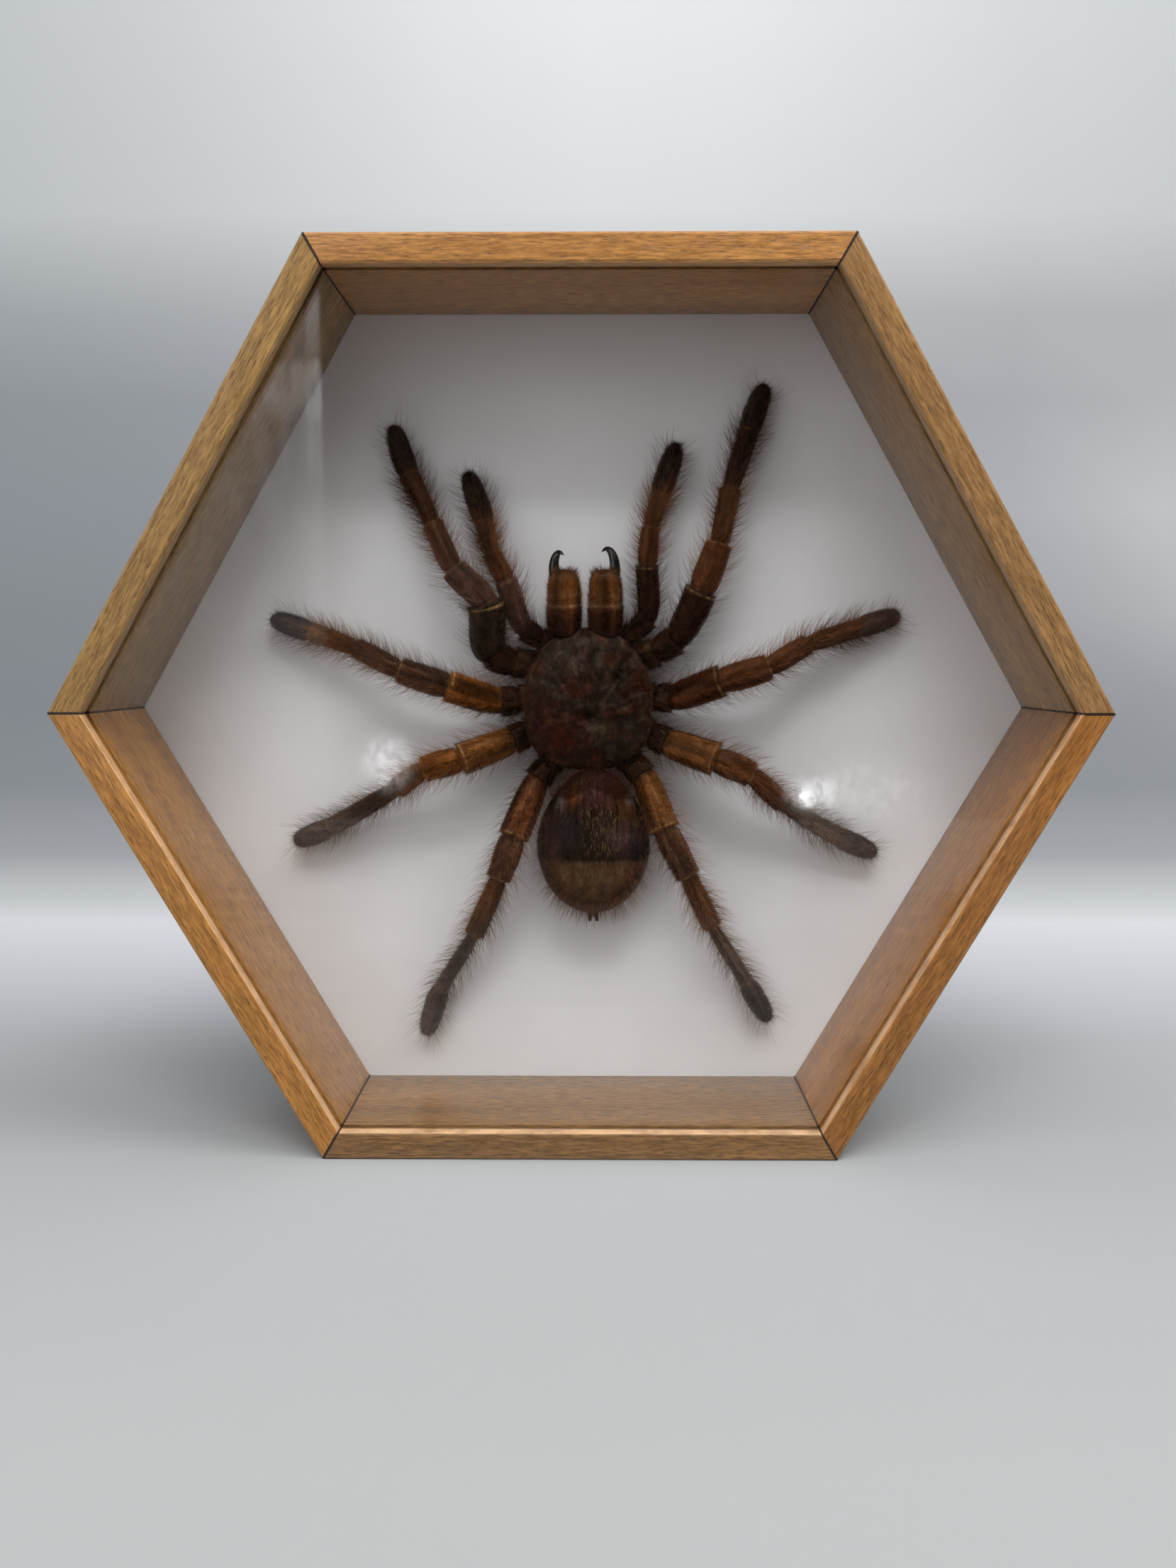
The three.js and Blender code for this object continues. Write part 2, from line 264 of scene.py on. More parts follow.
def ease_edges(made, width, segments=3):
    """Rounds every edge that turns by more than 25 degrees."""
    bevel = made.modifiers.new("eased_edges", "BEVEL")
    bevel.width = width
    bevel.segments = segments
    bevel.limit_method = "ANGLE"
    bevel.angle_limit = math.radians(25)
    bevel.harden_normals = True


for number, side in enumerate(SIDES):
    turn = number * math.pi / 3
    batten = wood("oiled_wood_" + side, turn, *RAIL_TONES_WITH_PAINTED_LIGHT[side])
    rail = piece(welded("rail_" + side), side + "_rail", batten, "wood", "rail_" + side)
    ease_edges(rail, RAIL_EDGE_ROUNDING)

# --- Glue lines -------------------------------------------------------------------------------
# Where two rails meet, a thin line of dark glue and dust fills the mitre. It lies a little below the
# wood, so each corner shows a fine dark seam.

GLUE_BELOW_SURFACE = 0.28 * MM
MITRE_CUT = 0.3 * MM  # a rail ends this far before the mitre, measured along the rail
MITRE_GAP = 2 * MITRE_CUT * math.cos(math.pi / 6)

glue = new_material("dark_glue")
dust = speckle(glue, object_place(glue), 900.0)
surface(glue, {"Base Color": ramp(glue, dust, (0.3, "#140d08"), (0.7, "#2e1d11")), "Roughness": 0.7})
for number, side in enumerate(SIDES):
    turn = (number + 0.5) * math.pi / 3
    across = Vector((math.cos(turn), 0, -math.sin(turn)))
    bm = welded("rail_" + side)
    bmesh.ops.delete(bm, geom=[f for f in bm.faces if f.normal.dot(across) < 0.99], context="FACES")
    rim = bmesh.ops.inset_region(bm, faces=bm.faces, thickness=GLUE_BELOW_SURFACE, use_even_offset=True)
    bmesh.ops.delete(bm, geom=rim["faces"], context="FACES")
    grown = bmesh.ops.extrude_face_region(bm, geom=bm.faces[:])["geom"]
    far_side = [g for g in grown if isinstance(g, bmesh.types.BMVert)]
    bmesh.ops.translate(bm, vec=across * MITRE_GAP, verts=far_side)
    bmesh.ops.recalc_face_normals(bm, faces=bm.faces)
    piece(bm, "glue_line_after_" + side, glue, "wood", smooth=False)

# --- Glass pane -------------------------------------------------------------------------------
# Clear float glass, 2 mm thick, cut as a hexagon and slid into the grooves of the rails. It mirrors
# the room a little and casts hardly any shadow.

glass = new_material("clear_glass")
pane = surface(glass, {"Base Color": (0.975, 0.985, 0.98, 1), "Roughness": 0.0, "IOR": 1.5,
                       "Transmission Weight": 1.0})
open_way = add(glass, "ShaderNodeBsdfTransparent", {"Color": (0.95, 0.96, 0.955, 1)})
to_light = add(glass, "ShaderNodeLightPath").outputs["Is Shadow Ray"]
ways = {"Fac": to_light, 1: pane.outputs["BSDF"], 2: open_way.outputs["BSDF"]}
mixed = add(glass, "ShaderNodeMixShader", ways).outputs["Shader"]
set_inputs(glass, glass.node_tree.nodes["Material Output"], {"Surface": mixed})
piece(welded("glass_pane"), "pane", glass, "glass", "glass_pane", smooth=False)

# --- Backing board ----------------------------------------------------------------------------
# A smooth white board with a faint satin skin, cut to the hexagon. It closes the box behind the
# animal, which is fixed to it.

white = new_material("white_board")
near = object_place(white)
mottle = ramp(white, speckle(white, near, 22.0, 3.0), (0.3, "#dcdadd"), (0.7, "#e6e4e8"))
fibres = speckle(white, near, 2600.0, 3.0)
surface(white, {"Base Color": mottle, "Roughness": 0.42, "Specular IOR Level": 0.35,
                "Normal": relief(white, fibres, 0.02 * MM, 0.4)})
piece(welded("backing_board"), "white_backing_board", white, "board", "backing_board", smooth=False)

# --- Back panel -------------------------------------------------------------------------------
# Thin brown hardboard, pressed from wood fibre, with its screen side outwards. It lies in the rebate
# at the rear of the rails.

hardboard = new_material("brown_hardboard")
near = object_place(hardboard)
pulp = speckle(hardboard, near, 1400.0, 6.0, 0.7)
cloud = ramp(hardboard, speckle(hardboard, near, 30.0), (0.3, "#c8c8c8"), (0.7, "#ffffff"))
fibre = ramp(hardboard, pulp, (0.3, "#4a2f1c"), (0.5, "#6d4a2e"), (0.72, "#8c6846"))
surface(hardboard, {"Base Color": blend(hardboard, 0.8, fibre, cloud, "MULTIPLY"), "Roughness": 0.8,
                    "Normal": relief(hardboard, pulp, 0.12 * MM, 0.7)})
panel = piece(welded("back_panel"), "hardboard_panel", hardboard, "panel", "back_panel")
ease_edges(panel, 0.3 * MM, 2)

# --- Points, hanger and nails -----------------------------------------------------------------
# Six flat steel points are pressed into the rails to hold the panel. A sawtooth hanger is nailed
# to the top rail's side of the panel. All of them are zinc plated.

POINT_ROUNDING = 0.08 * MM
HANGER_ROUNDING = 0.12 * MM
NAIL_ROUNDING = 0.15 * MM

zinc = new_material("zinc_plated_steel")
spangle = ramp(zinc, speckle(zinc, object_place(zinc), 420.0, 3.0), (0.3, "#8d8f92"), (0.7, "#b9bbbd"))
brushed = streaked(zinc, object_place(zinc), (260, 4200, 4200), 4.0)
surface(zinc, {"Base Color": spangle, "Metallic": 1.0,
               "Roughness": ramp(zinc, brushed, (0.3, "#474747"), (0.8, "#7a7a7a")),
               "Normal": relief(zinc, brushed, 0.01 * MM, 0.4)})
for side in SIDES:
    point = piece(welded("framers_point_" + side), "steel_point_" + side, zinc, "steel",
                  "framers_point_" + side)
    ease_edges(point, POINT_ROUNDING, 2)
hanger = piece(welded("sawtooth_hanger"), "toothed_hanger", zinc, "steel", "sawtooth_hanger")
ease_edges(hanger, HANGER_ROUNDING, 2)
for side in ("left", "right"):
    nail = piece(welded("hanger_nail_" + side), side + "_hanger_nail", zinc, "steel",
                 "hanger_nail_" + side)
    ease_edges(nail, NAIL_ROUNDING)

# --- Legs -------------------------------------------------------------------------------------
# Each walking leg is a row of hollow cuticle tubes: coxa with trochanter, femur, patella, tibia,
# metatarsus and tarsus. Each tube has a pale rim where the next one, on its narrow skin, goes in.

BOARD_FACE = 16 * MM  # distance of the white face behind the middle of the box
LEG_JOINTS = {  # (x, z) of the root, the joints and the tip, in millimetres
    "leg_1_left": (
        (-6, 114), (-22.6, 117.6), (-23.2, 129.8), (-31, 138), (-36.5, 149.2), (-43, 162), (-47, 174)),
    "leg_1_right": (
        (9.5, 114), (23.5, 121), (29.3, 133), (33.5, 144), (36.5, 157.5), (41.3, 172.4), (45.4, 183.8)),
    "leg_2_left": (
        (-7.5, 107.5), (-20.2, 105.6), (-33, 109.7), (-44.5, 113.5), (-56, 119), (-68, 123), (-78.5, 126.5)),
    "leg_2_right": (
        (11, 107.5), (22.6, 106.6), (34.6, 111), (46, 114.3), (56, 119.8), (69.5, 123.9), (80, 127.4)),
    "leg_3_left": (
        (-6.5, 101), (-17.5, 96), (-30, 91.5), (-39, 89), (-46.3, 83.9), (-64.7, 73.2), (-74, 69.5)),
    "leg_3_right": (
        (10.5, 101), (21.5, 95.5), (33.5, 91.5), (42.2, 87.7), (50.3, 80.3), (65.1, 71.4), (75.7, 66.4)),
    "leg_4_left": (
        (-3.5, 95.5), (-11, 86), (-17, 72), (-20.7, 61.6), (-27.3, 46.6), (-36.7, 30.9), (-40.8, 18.4)),
    "leg_4_right": (
        (7.5, 95.5), (15.5, 87), (20.8, 73.9), (26.7, 62.3), (33.2, 48.8), (42.9, 32.6), (48.8, 22.4)),
}
LEG_HEIGHTS = (5, 7.5, 13, 13, 9, 5, 3.3)  # of the joints above the board
LEG_RADII = ((3.4, 3.8), (3.4, 4.0), (3.35, 3.2), (2.35, 2.6), (2.05, 2.55), (2.8, 2.35))  # of a tube's ends
LEG_STOUTNESS = {"1": 1.0, "2": 0.98, "3": 0.98, "4": 0.95}
FEMUR, METATARSUS = 1, 4  # numbers of these tubes, counted from the root
METATARSUS_STOUTNESS = {"1": 1.0, "2": 0.96, "3": 0.93, "4": 0.75}
FEMUR_STOUTNESS = {"leg_1_left": 1.18, "leg_3_right": 1.1, "leg_2_right": 1.04, "leg_3_left": 1.04}
RING_SIDES = 28
FLATTENING = 0.93
JOINT_TURN = 0.62  # share of a full curve that a tube takes up, the rest of the bend is at its joints
TUBE_PROFILE = (  # share of the length, width
    (0.0, 0.9), (0.025, 0.91), (0.045, 0.94), (0.08, 0.96), (0.14, 0.99), (0.22, 1.02), (0.32, 1.04),
    (0.44, 1.04), (0.56, 1.03), (0.68, 1.01), (0.79, 1.0), (0.88, 1.0), (0.93, 1.0), (0.955, 1.005),
    (0.97, 1.0), (0.982, 0.96), (0.993, 0.86),
)
ROOT_PROFILE = (
    (0.0, 0.8), (0.06, 0.92), (0.15, 0.99), (0.3, 1.02), (0.45, 1.02), (0.56, 1.04), (0.6, 1.04),
    (0.62, 0.93), (0.64, 0.86), (0.67, 0.9), (0.7, 0.98), (0.8, 1.0), (0.9, 1.0), (0.94, 1.03),
    (0.965, 1.04), (0.98, 0.96), (0.993, 0.8),
)
TIP_PROFILE = (
    (0.0, 0.84), (0.03, 0.87), (0.06, 0.92), (0.12, 0.97), (0.25, 1.01), (0.4, 1.03), (0.55, 1.02),
    (0.68, 0.98), (0.78, 0.91), (0.86, 0.8), (0.92, 0.66), (0.96, 0.5), (0.985, 0.33), (1.0, 0.08),
)
RIM_FROM, RIM_TO = 0.94, 0.975  # the pale rim of a tube, as shares of its length
COXA_RIM = (0.555, 0.61)
RIM_SHOWN = (0.12, 0.75, 0.6, 0.2, 0.3, 0.0)  # how pale it is, from the root to the tip
DUSKY_PART, DUSK_SHARE = 0.1, 0.35  # the start of a tube is this much darker

SOOT = "#20160f"
VELVET = "#1c110c"
SABLE = "#2f1e18"
DUSK = "#2c160d"
COXA = "#2a160b"
SIENNA = "#40200c"
UMBER = "#523017"
CHESTNUT = "#5c351b"
RUST = "#6e431e"
AMBER = "#7a4719"
WALNUT = "#5a3b28"
PLUM = "#583c33"
DRAB = "#5b4536"
ASH = "#503c34"
MOSS = "#30241a"
SMOKE = "#3c2d28"
RIM = "#b8925e"
LEG_TINTS = {  # one for each tube, from the root to the tip
    "leg_1_left": (COXA, MOSS, PLUM, WALNUT, SIENNA, SABLE),
    "leg_1_right": (COXA, DUSK, CHESTNUT, UMBER, DUSK, SABLE),
    "leg_2_left": (COXA, AMBER, WALNUT, WALNUT, RUST, SMOKE),
    "leg_2_right": (COXA, SIENNA, CHESTNUT, CHESTNUT, UMBER, ASH),
    "leg_3_left": (COXA, RUST, AMBER, RUST, DRAB, ASH),
    "leg_3_right": (COXA, RUST, CHESTNUT, CHESTNUT, DRAB, ASH),
    "leg_4_left": (COXA, CHESTNUT, WALNUT, RUST, DRAB, ASH),
    "leg_4_right": (COXA, RUST, WALNUT, RUST, DRAB, ASH),
}


def shade(code):
    """The colour of a hex code as a vector, to be mixed."""
    return Vector(colour(code)[:3])


def limb_rings(joints, heights, radii, stoutness, tints):
    """The rings of a limb from root to tip, each with its place, directions, width and tint.

    The stoutness of a tube is a factor on its radii.
    """
    points = [Vector((x * MM, BOARD_FACE - h * MM, z * MM)) for (x, z), h in zip(joints, heights)]
    ahead = [(b - a).normalized() for a, b in zip(points, points[1:])]
    turns = [ahead[0]] + [(a + b).normalized() for a, b in zip(ahead, ahead[1:])] + [ahead[-1]]
    rings = []
    for tube, (start, end) in enumerate(zip(points, points[1:])):
        reach = (end - start).length
        leave = ahead[tube].lerp(turns[tube], JOINT_TURN) * reach
        arrive = ahead[tube].lerp(turns[tube + 1], JOINT_TURN) * reach
        last = tube == len(radii) - 1
        for share, width in ROOT_PROFILE if tube == 0 else TIP_PROFILE if last else TUBE_PROFILE:
            t, t2, t3 = share, share ** 2, share ** 3
            place = (start * (2 * t3 - 3 * t2 + 1) + leave * (t3 - 2 * t2 + t)
                     + end * (3 * t2 - 2 * t3) + arrive * (t3 - t2))
            along = (start * (6 * t2 - 6 * t) + leave * (3 * t2 - 4 * t + 1)
                     + end * (6 * t - 6 * t2) + arrive * (3 * t2 - 2 * t)).normalized()
            side = along.cross(Vector((0, -1, 0))).normalized()
            radius = (radii[tube][0] * (1 - share) + radii[tube][1] * share) * stoutness[tube] * width * MM
            own = shade(tints[tube])
            if share < DUSKY_PART and tube > 0:
                own = own * (1 - DUSK_SHARE * (1 - share / DUSKY_PART))
            on_rim = RIM_FROM < share < RIM_TO or tube == 0 and COXA_RIM[0] < share < COXA_RIM[1]
            rings.append({"place": place, "along": along, "side": side, "up": side.cross(along),
                          "radius": radius, "tint": own, "at": tube + share, "tube": tube,
                          "share": share, "rim": RIM_SHOWN[tube] * on_rim})
    return rings


def ring_matrix(ring):
    columns = (ring["side"] * ring["radius"], ring["up"] * ring["radius"] * FLATTENING,
               ring["along"] * ring["radius"], ring["place"])
    return Matrix([[column[row] for column in columns] for row in range(3)] + [[0, 0, 0, 1]])


def skin(bm, matrices, sides):
    """A tube through these rings, closed to a pole at each end. Gives the vertices ring by ring."""
    rings = [bmesh.ops.create_circle(bm, segments=sides, radius=1, matrix=matrices[0])["verts"]]
    edges = list({e for v in rings[0] for e in v.link_edges})
    for before, after in zip(matrices, matrices[1:]):
        grown = bmesh.ops.extrude_edge_only(bm, edges=edges)["geom"]
        edges = [g for g in grown if isinstance(g, bmesh.types.BMEdge) and g.is_boundary]
        rings.append([g for g in grown if isinstance(g, bmesh.types.BMVert)])
        bmesh.ops.transform(bm, matrix=after @ before.inverted(), verts=rings[-1])
    return rings


def close_pole(bm, ring):
    middle = sum((v.co for v in ring), Vector()) / len(ring)
    bmesh.ops.pointmerge(bm, verts=ring, merge_co=middle)


def rough(x, y, across, along, seed):
    """Smooth noise on a plane, stretched by a scale each way."""
    return noise.noise(Vector((x * across, y * along, seed)))


def clamped(value, least=0, most=1):
    return min(most, max(least, value))


def fold(x, y, at, seed):
    """The lengthwise folds of the dried skin, about -1 in a fold and 1 on a ridge."""
    return 2.2 * rough(x, y, 1.7, 1.7, at * 0.8 + seed)


TAUT = 0.25  # share of the folds that is left at both ends of a tube
TAUT_UP_TO, TAUT_FROM = 0.05, 0.91


def limb_skin(rings, depth, seed):
    """The cuticle of a limb. Its folds are about this deep."""
    bm = bmesh.new()
    tint = bm.verts.layers.float_color.new("tint")
    lengthwise = bm.verts.layers.float_vector.new("lengthwise")
    matrices = [ring_matrix(ring) for ring in rings]
    for ring, matrix, verts in zip(rings, matrices, skin(bm, matrices, RING_SIDES)):
        back = matrix.inverted()
        in_middle = TAUT_UP_TO <= ring["share"] <= TAUT_FROM
        folded = 1 if in_middle else TAUT
        for v in verts:
            x, y = (back @ v.co).xy.normalized()
            pleat = fold(x, y, ring["at"], seed)
            lump = 0.7 * rough(x, y, 1, 1, ring["at"] * 3.1 + seed)
            v.co += (v.co - ring["place"]).normalized() * (pleat + lump) * depth * folded
            # Painted shade and highlight: the tint is darker in a fold and paler on a ridge.
            own = ring["tint"] * (1 + 0.5 * pleat * folded)
            rim = ring["rim"] * clamped(0.55 + 1.6 * rough(x, y, 2.2, 2.2, ring["tube"] + seed), 0.1)
            v[tint] = (*own.lerp(shade(RIM), rim), 1)
            v[lengthwise] = (x, y, ring["at"])
        if ring in (rings[0], rings[-1]):
            close_pole(bm, verts)
    bmesh.ops.recalc_face_normals(bm, faces=bm.faces)
    return bm


def painted(material, layer, output="Color"):
    """A layer that the mesh carries at its vertices."""
    return add(material, "ShaderNodeAttribute", attribute_name=layer).outputs[output]


SHEEN = (1.0, 0.78, 0.6, 1)
# Painted highlight: how much paler the ridge streaks are.
RIDGE_HIGHLIGHT_GAIN = (2.3, 2.1, 1.9, 1)


def cuticle(name, streaks, ridge_highlights):
    """Dry cuticle in the piece's own tints, with dark streaks, pale ridge streaks painted as a highlight, and
    a patchy dull gleam.
    """
    material = new_material(name)
    own = painted(material, "tint")
    lengthwise = painted(material, "lengthwise", "Vector")
    place = object_place(material)
    dark = streaked(material, lengthwise, (2.6, 2.6, 1.3))
    stripe = ramp(material, dark, (0.36, "#453a30"), (0.54, "#ffffff"))
    high = streaked(material, lengthwise, (4.0, 4.0, 0.7), 2.0, (3.0, 8.0, 5.0))
    ridge = ramp(material, high, (0.52, "#000000"), (0.57, "#ffffff"), (0.62, "#000000"))
    grain = speckle(material, place, 1500.0, 4.0)
    grained = ramp(material, grain, (0.3, "#8a8280"), (0.65, "#ffffff"))
    patch = speckle(material, place, 420.0, 3.0)
    dusty = ramp(material, patch, (0.38, "#b4aaa4"), (0.6, "#ffffff"))
    tinted = blend(material, streaks, own, stripe, "MULTIPLY")
    # Painted highlight: thin pale streaks along the cuticle.
    pale = blend(material, 1.0, tinted, RIDGE_HIGHLIGHT_GAIN, "MULTIPLY")
    tinted = blend(material, blend(material, ridge_highlights, colour("#000000"), ridge), tinted, pale)
    tinted = blend(material, 0.8, tinted, grained, "MULTIPLY")
    tinted = blend(material, 0.7, tinted, dusty, "MULTIPLY")
    gloss = ramp(material, patch, (0.4, "#5c5c5c"), (0.6, "#a8a8a8"))
    surface(material, {"Base Color": tinted, "Roughness": gloss, "Specular IOR Level": 0.14,
                       "Specular Tint": SHEEN, "Normal": relief(material, grain, 0.08 * MM, 0.6)})
    return material


def round_skin(made):
    smoother = made.modifiers.new("rounded_skin", "SUBSURF")
    smoother.levels = smoother.render_levels = 1


LEG_FOLDS = 0.26 * MM
FOLD_SEED_STEP = 7.3  # gives every leg folds of its own

leg_cuticle = cuticle("leg_cuticle", 0.5, 0.35)
limbs = {}
seeds = {}
for number, (name, joints) in enumerate(LEG_JOINTS.items()):
    pair = name[4]
    stoutness = [LEG_STOUTNESS[pair]] * len(LEG_RADII)
    stoutness[METATARSUS] *= METATARSUS_STOUTNESS[pair]
    stoutness[FEMUR] *= FEMUR_STOUTNESS.get(name, 1.0)
    limbs[name] = limb_rings(joints, LEG_HEIGHTS, LEG_RADII, stoutness, LEG_TINTS[name])
    seeds[name] = number * FOLD_SEED_STEP
    leg_skin = limb_skin(limbs[name], LEG_FOLDS, seeds[name])
    round_skin(piece(leg_skin, name + "_cuticle", leg_cuticle, "cuticle", name))

# --- Pedipalps --------------------------------------------------------------------------------
# The two feelers are built like short legs without a metatarsus, of the same dry cuticle. Their last
# tube is a dark club.

PALP_JOINTS = {
    "pedipalp_left": ((-3, 118.5), (-14, 123.5), (-18.5, 135.5), (-22, 142), (-24, 150), (-28.5, 162.5)),
    "pedipalp_right": ((6.5, 118.5), (16.2, 126), (16.1, 139), (17, 148), (19.5, 156.5), (23.7, 169.5)),
}
PALP_HEIGHTS = (5, 7.5, 12, 11, 7.5, 4.2)
PALP_RADII = ((2.6, 2.8), (2.45, 2.6), (2.25, 2.1), (1.85, 1.95), (2.75, 2.1))
PALP_TINTS = {
    "pedipalp_left": (COXA, PLUM, CHESTNUT, CHESTNUT, VELVET),
    "pedipalp_right": (COXA, DUSK, CHESTNUT, UMBER, VELVET),
}
PALP_FOLDS = 0.22 * MM
seeds["pedipalp_left"] = 60
seeds["pedipalp_right"] = 65.1

for name, joints in PALP_JOINTS.items():
    stoutness = [1.0] * len(PALP_RADII)
    limbs[name] = limb_rings(joints, PALP_HEIGHTS, PALP_RADII, stoutness, PALP_TINTS[name])
    palp_skin = limb_skin(limbs[name], PALP_FOLDS, seeds[name])
    round_skin(piece(palp_skin, name + "_cuticle", leg_cuticle, "cuticle", name))

# --- Hair of the limbs ------------------------------------------------------------------------
# Fine hair covers every tube and leans towards its tip. Longer bristles stand out of it, most of
# them on the tibiae and metatarsi. The tarsi have a dense dark velvet.

REDDISH = (0.05, 0.024, 0.014)
PILE = {"count": 10000, "length": (0.4, 1.3), "radius": 0.028, "lean": 1.4, "steps": 1, "shine": 1.1,
        "tone": (0, 0, 0)}
BRISTLES = {"count": 2500, "length": (1.0, 6.2), "radius": 0.036, "lean": 0.5, "steps": 3, "shine": 0.8,
            "tone": REDDISH}
MOSTLY_SHORT = 1.4
AROUND = (-0.22 * math.pi, 1.22 * math.pi)  # the part of a limb's girth that has hair, from side to side
DENSE_TIP = 1.6
HAIR_TAPER = 0.7
ROOTED_AT = 0.95  # share of the limb's radius, so that no hair starts in the air
SCATTER = 0.16
BRISTLE_SHARES = (0.5, 0.5, 0.8, 1.5, 1.9, 0.35)  # how many stand on each tube, from the root to the tip


def hair_piece(name, roots, aims, lengths, radius, bend, tints, steps):
    """Joins many tapering three-sided hairs in one piece. Arrays are in metres, a row for each hair."""
    count = len(roots)
    aims = aims / np.linalg.norm(aims, axis=1, keepdims=True)
    other = np.where(np.abs(aims[:, 1:2]) < 0.9, [[0, 1, 0]], [[1, 0, 0]])
    first = np.cross(aims, other)
    first /= np.linalg.norm(first, axis=1, keepdims=True)
    second = np.cross(aims, first)
    points = np.empty((count, steps * 3 + 1, 3))
    for step in range(steps + 1):
        share = step / steps
        middle = roots + (aims * share + bend * share ** 2) * lengths[:, None]
        if step == steps:
            points[:, -1] = middle
            break
        for corner in range(3):
            turn = corner * math.tau / 3
            off = first * math.cos(turn) + second * math.sin(turn)
            points[:, step * 3 + corner] = middle + off * radius * (1 - HAIR_TAPER * share)
    faces = []
    for step in range(steps):
        for corner in range(3):
            a, b = step * 3 + corner, step * 3 + (corner + 1) % 3
            if step == steps - 1:
                faces.append((a, b, steps * 3))
            else:
                faces += [(a, b, b + 3), (a, b + 3, a + 3)]
    faces = (np.array(faces)[None] + (np.arange(count) * (steps * 3 + 1))[:, None, None]).reshape(-1, 3)
    mesh = bpy.data.meshes.new(name)
    mesh.vertices.add(points.shape[0] * points.shape[1])
    mesh.vertices.foreach_set("co", points.astype(np.float32).ravel())
    mesh.loops.add(faces.size)
    mesh.loops.foreach_set("vertex_index", faces.astype(np.int32).ravel())
    mesh.polygons.add(len(faces))
    mesh.polygons.foreach_set("loop_start", np.arange(0, faces.size, 3, dtype=np.int32))
    mesh.update(calc_edges=True)
    shown = mesh.color_attributes.new("tint", "FLOAT_COLOR", "POINT")
    rows = np.concatenate([tints, np.ones((count, 1))], axis=1)
    shown.data.foreach_set("color", np.repeat(rows, steps * 3 + 1, axis=0).astype(np.float32).ravel())
    on_box(finished(mesh, hair), "cuticle")


def limb_hair(name, rings, kind, shares, seed):
    """Hair all over a limb. It leans towards the tip, and none stands on the side of the board."""
    table = {key: np.array([ring[key] for ring in rings]) for key in ("place", "along", "side", "up", "tint")}
    radius, tube, at = (np.array([ring[key] for ring in rings]) for key in ("radius", "tube", "at"))
    count = kind["count"]
    steps = np.linalg.norm(np.diff(table["place"], axis=0), axis=1)
    weight = steps * (radius[1:] + radius[:-1]) * np.array(shares)[tube[:-1]]
    chosen = draw.choice(len(weight), count, p=weight / weight.sum())
    part = draw.random(count)
    turn = draw.uniform(*AROUND, count)
    mixed = {key: value[chosen] * (1 - part[:, None]) + value[chosen + 1] * part[:, None]
             for key, value in table.items()}
    width = radius[chosen] * (1 - part) + radius[chosen + 1] * part
    out = mixed["side"] * np.cos(turn)[:, None] + mixed["up"] * np.sin(turn)[:, None] * FLATTENING
    roots = mixed["place"] + out * (width * ROOTED_AT)[:, None]
    aims = out + mixed["along"] * kind["lean"] * draw.uniform(0.6, 1.2, (count, 1))
    aims += draw.normal(0, SCATTER, aims.shape)
    shortest, longest = kind["length"]
    lengths = (shortest + (longest - shortest) * draw.random(count) ** MOSTLY_SHORT) * MM
    ridge = np.array([fold(math.cos(a), math.sin(a), b, seed) for a, b in zip(turn, at[chosen])])
    tints = mixed["tint"] * kind["shine"] * draw.uniform(0.75, 1.25, (count, 1))
    # Painted shade and highlight: hair in a fold is darker, hair on a ridge paler.
    tints = tints * np.clip(1 + 0.75 * ridge, 0.3, 2)[:, None] + np.array(kind["tone"])
    bend = mixed["along"] * draw.uniform(0.1, 0.9, (count, 1))
    hair_piece(name, roots, aims, lengths, kind["radius"] * MM, bend, tints, kind["steps"])


hair = new_material("fine_hair")
surface(hair, {"Base Color": painted(hair, "tint"), "Roughness": 0.6, "Specular IOR Level": 0.05})
draw = np.random.default_rng(11)
for name, rings in limbs.items():
    shares = BRISTLE_SHARES
    if name in PALP_JOINTS:
        shares = shares[:METATARSUS] + shares[METATARSUS + 1:]
    even = [1.0] * (len(shares) - 1) + [DENSE_TIP]
    limb_hair(name + "_pile", rings, PILE, even, seeds[name])
    limb_hair(name + "_bristles", rings, BRISTLES, shares, seeds[name])

# --- Carapace ---------------------------------------------------------------------------------
# The shield over the front body, one hard plate of cuticle. Its head part is raised, grooves run
# from the dimple at its middle to the rim, and the eyes sit close together on a knob in front.

CARAPACE = {"x": 1.6, "z": 106.2, "half_width": 15.9, "half_length": 17.5, "rim": 9.6, "above": 4.6,
            "below": 0.6, "squareness": 2.75, "front_taper": 0.3, "front_stretch": 1.02}
FOVEA = (0.02, -0.25)  # shares of the half width and half length, from the middle
EYE_KNOB = (-0.02, 0.76)
HEAD_GROOVE = 38  # degrees from the front, on each side
GROOVE_ANGLES = (HEAD_GROOVE, 72, 108, 142)


def on_body(body, x, z, lift):
    """A spot, given in shares of the half width and half length, at a height above the board."""
    across = x * body["half_width"] * (1 - body["front_taper"] * max(0, z) ** 2)
    ahead = z * body["half_length"] * (body["front_stretch"] if z > 0 else 1)
    return Vector(((body["x"] + across) * MM, BOARD_FACE - lift * MM, (body["z"] + ahead) * MM))


def reach_of(body, x, z):
    """How far out a spot lies, 1 at the rim of the rounded square outline."""
    power = body["squareness"]
    return (abs(x) ** power + abs(z) ** power) ** (1 / power)


def details(shape, x, z, height):
    """The detail on a body's upper side, which fades out at its rim."""
    return shape(x, z) * min(1, height * 3) if shape and height > 0 else 0


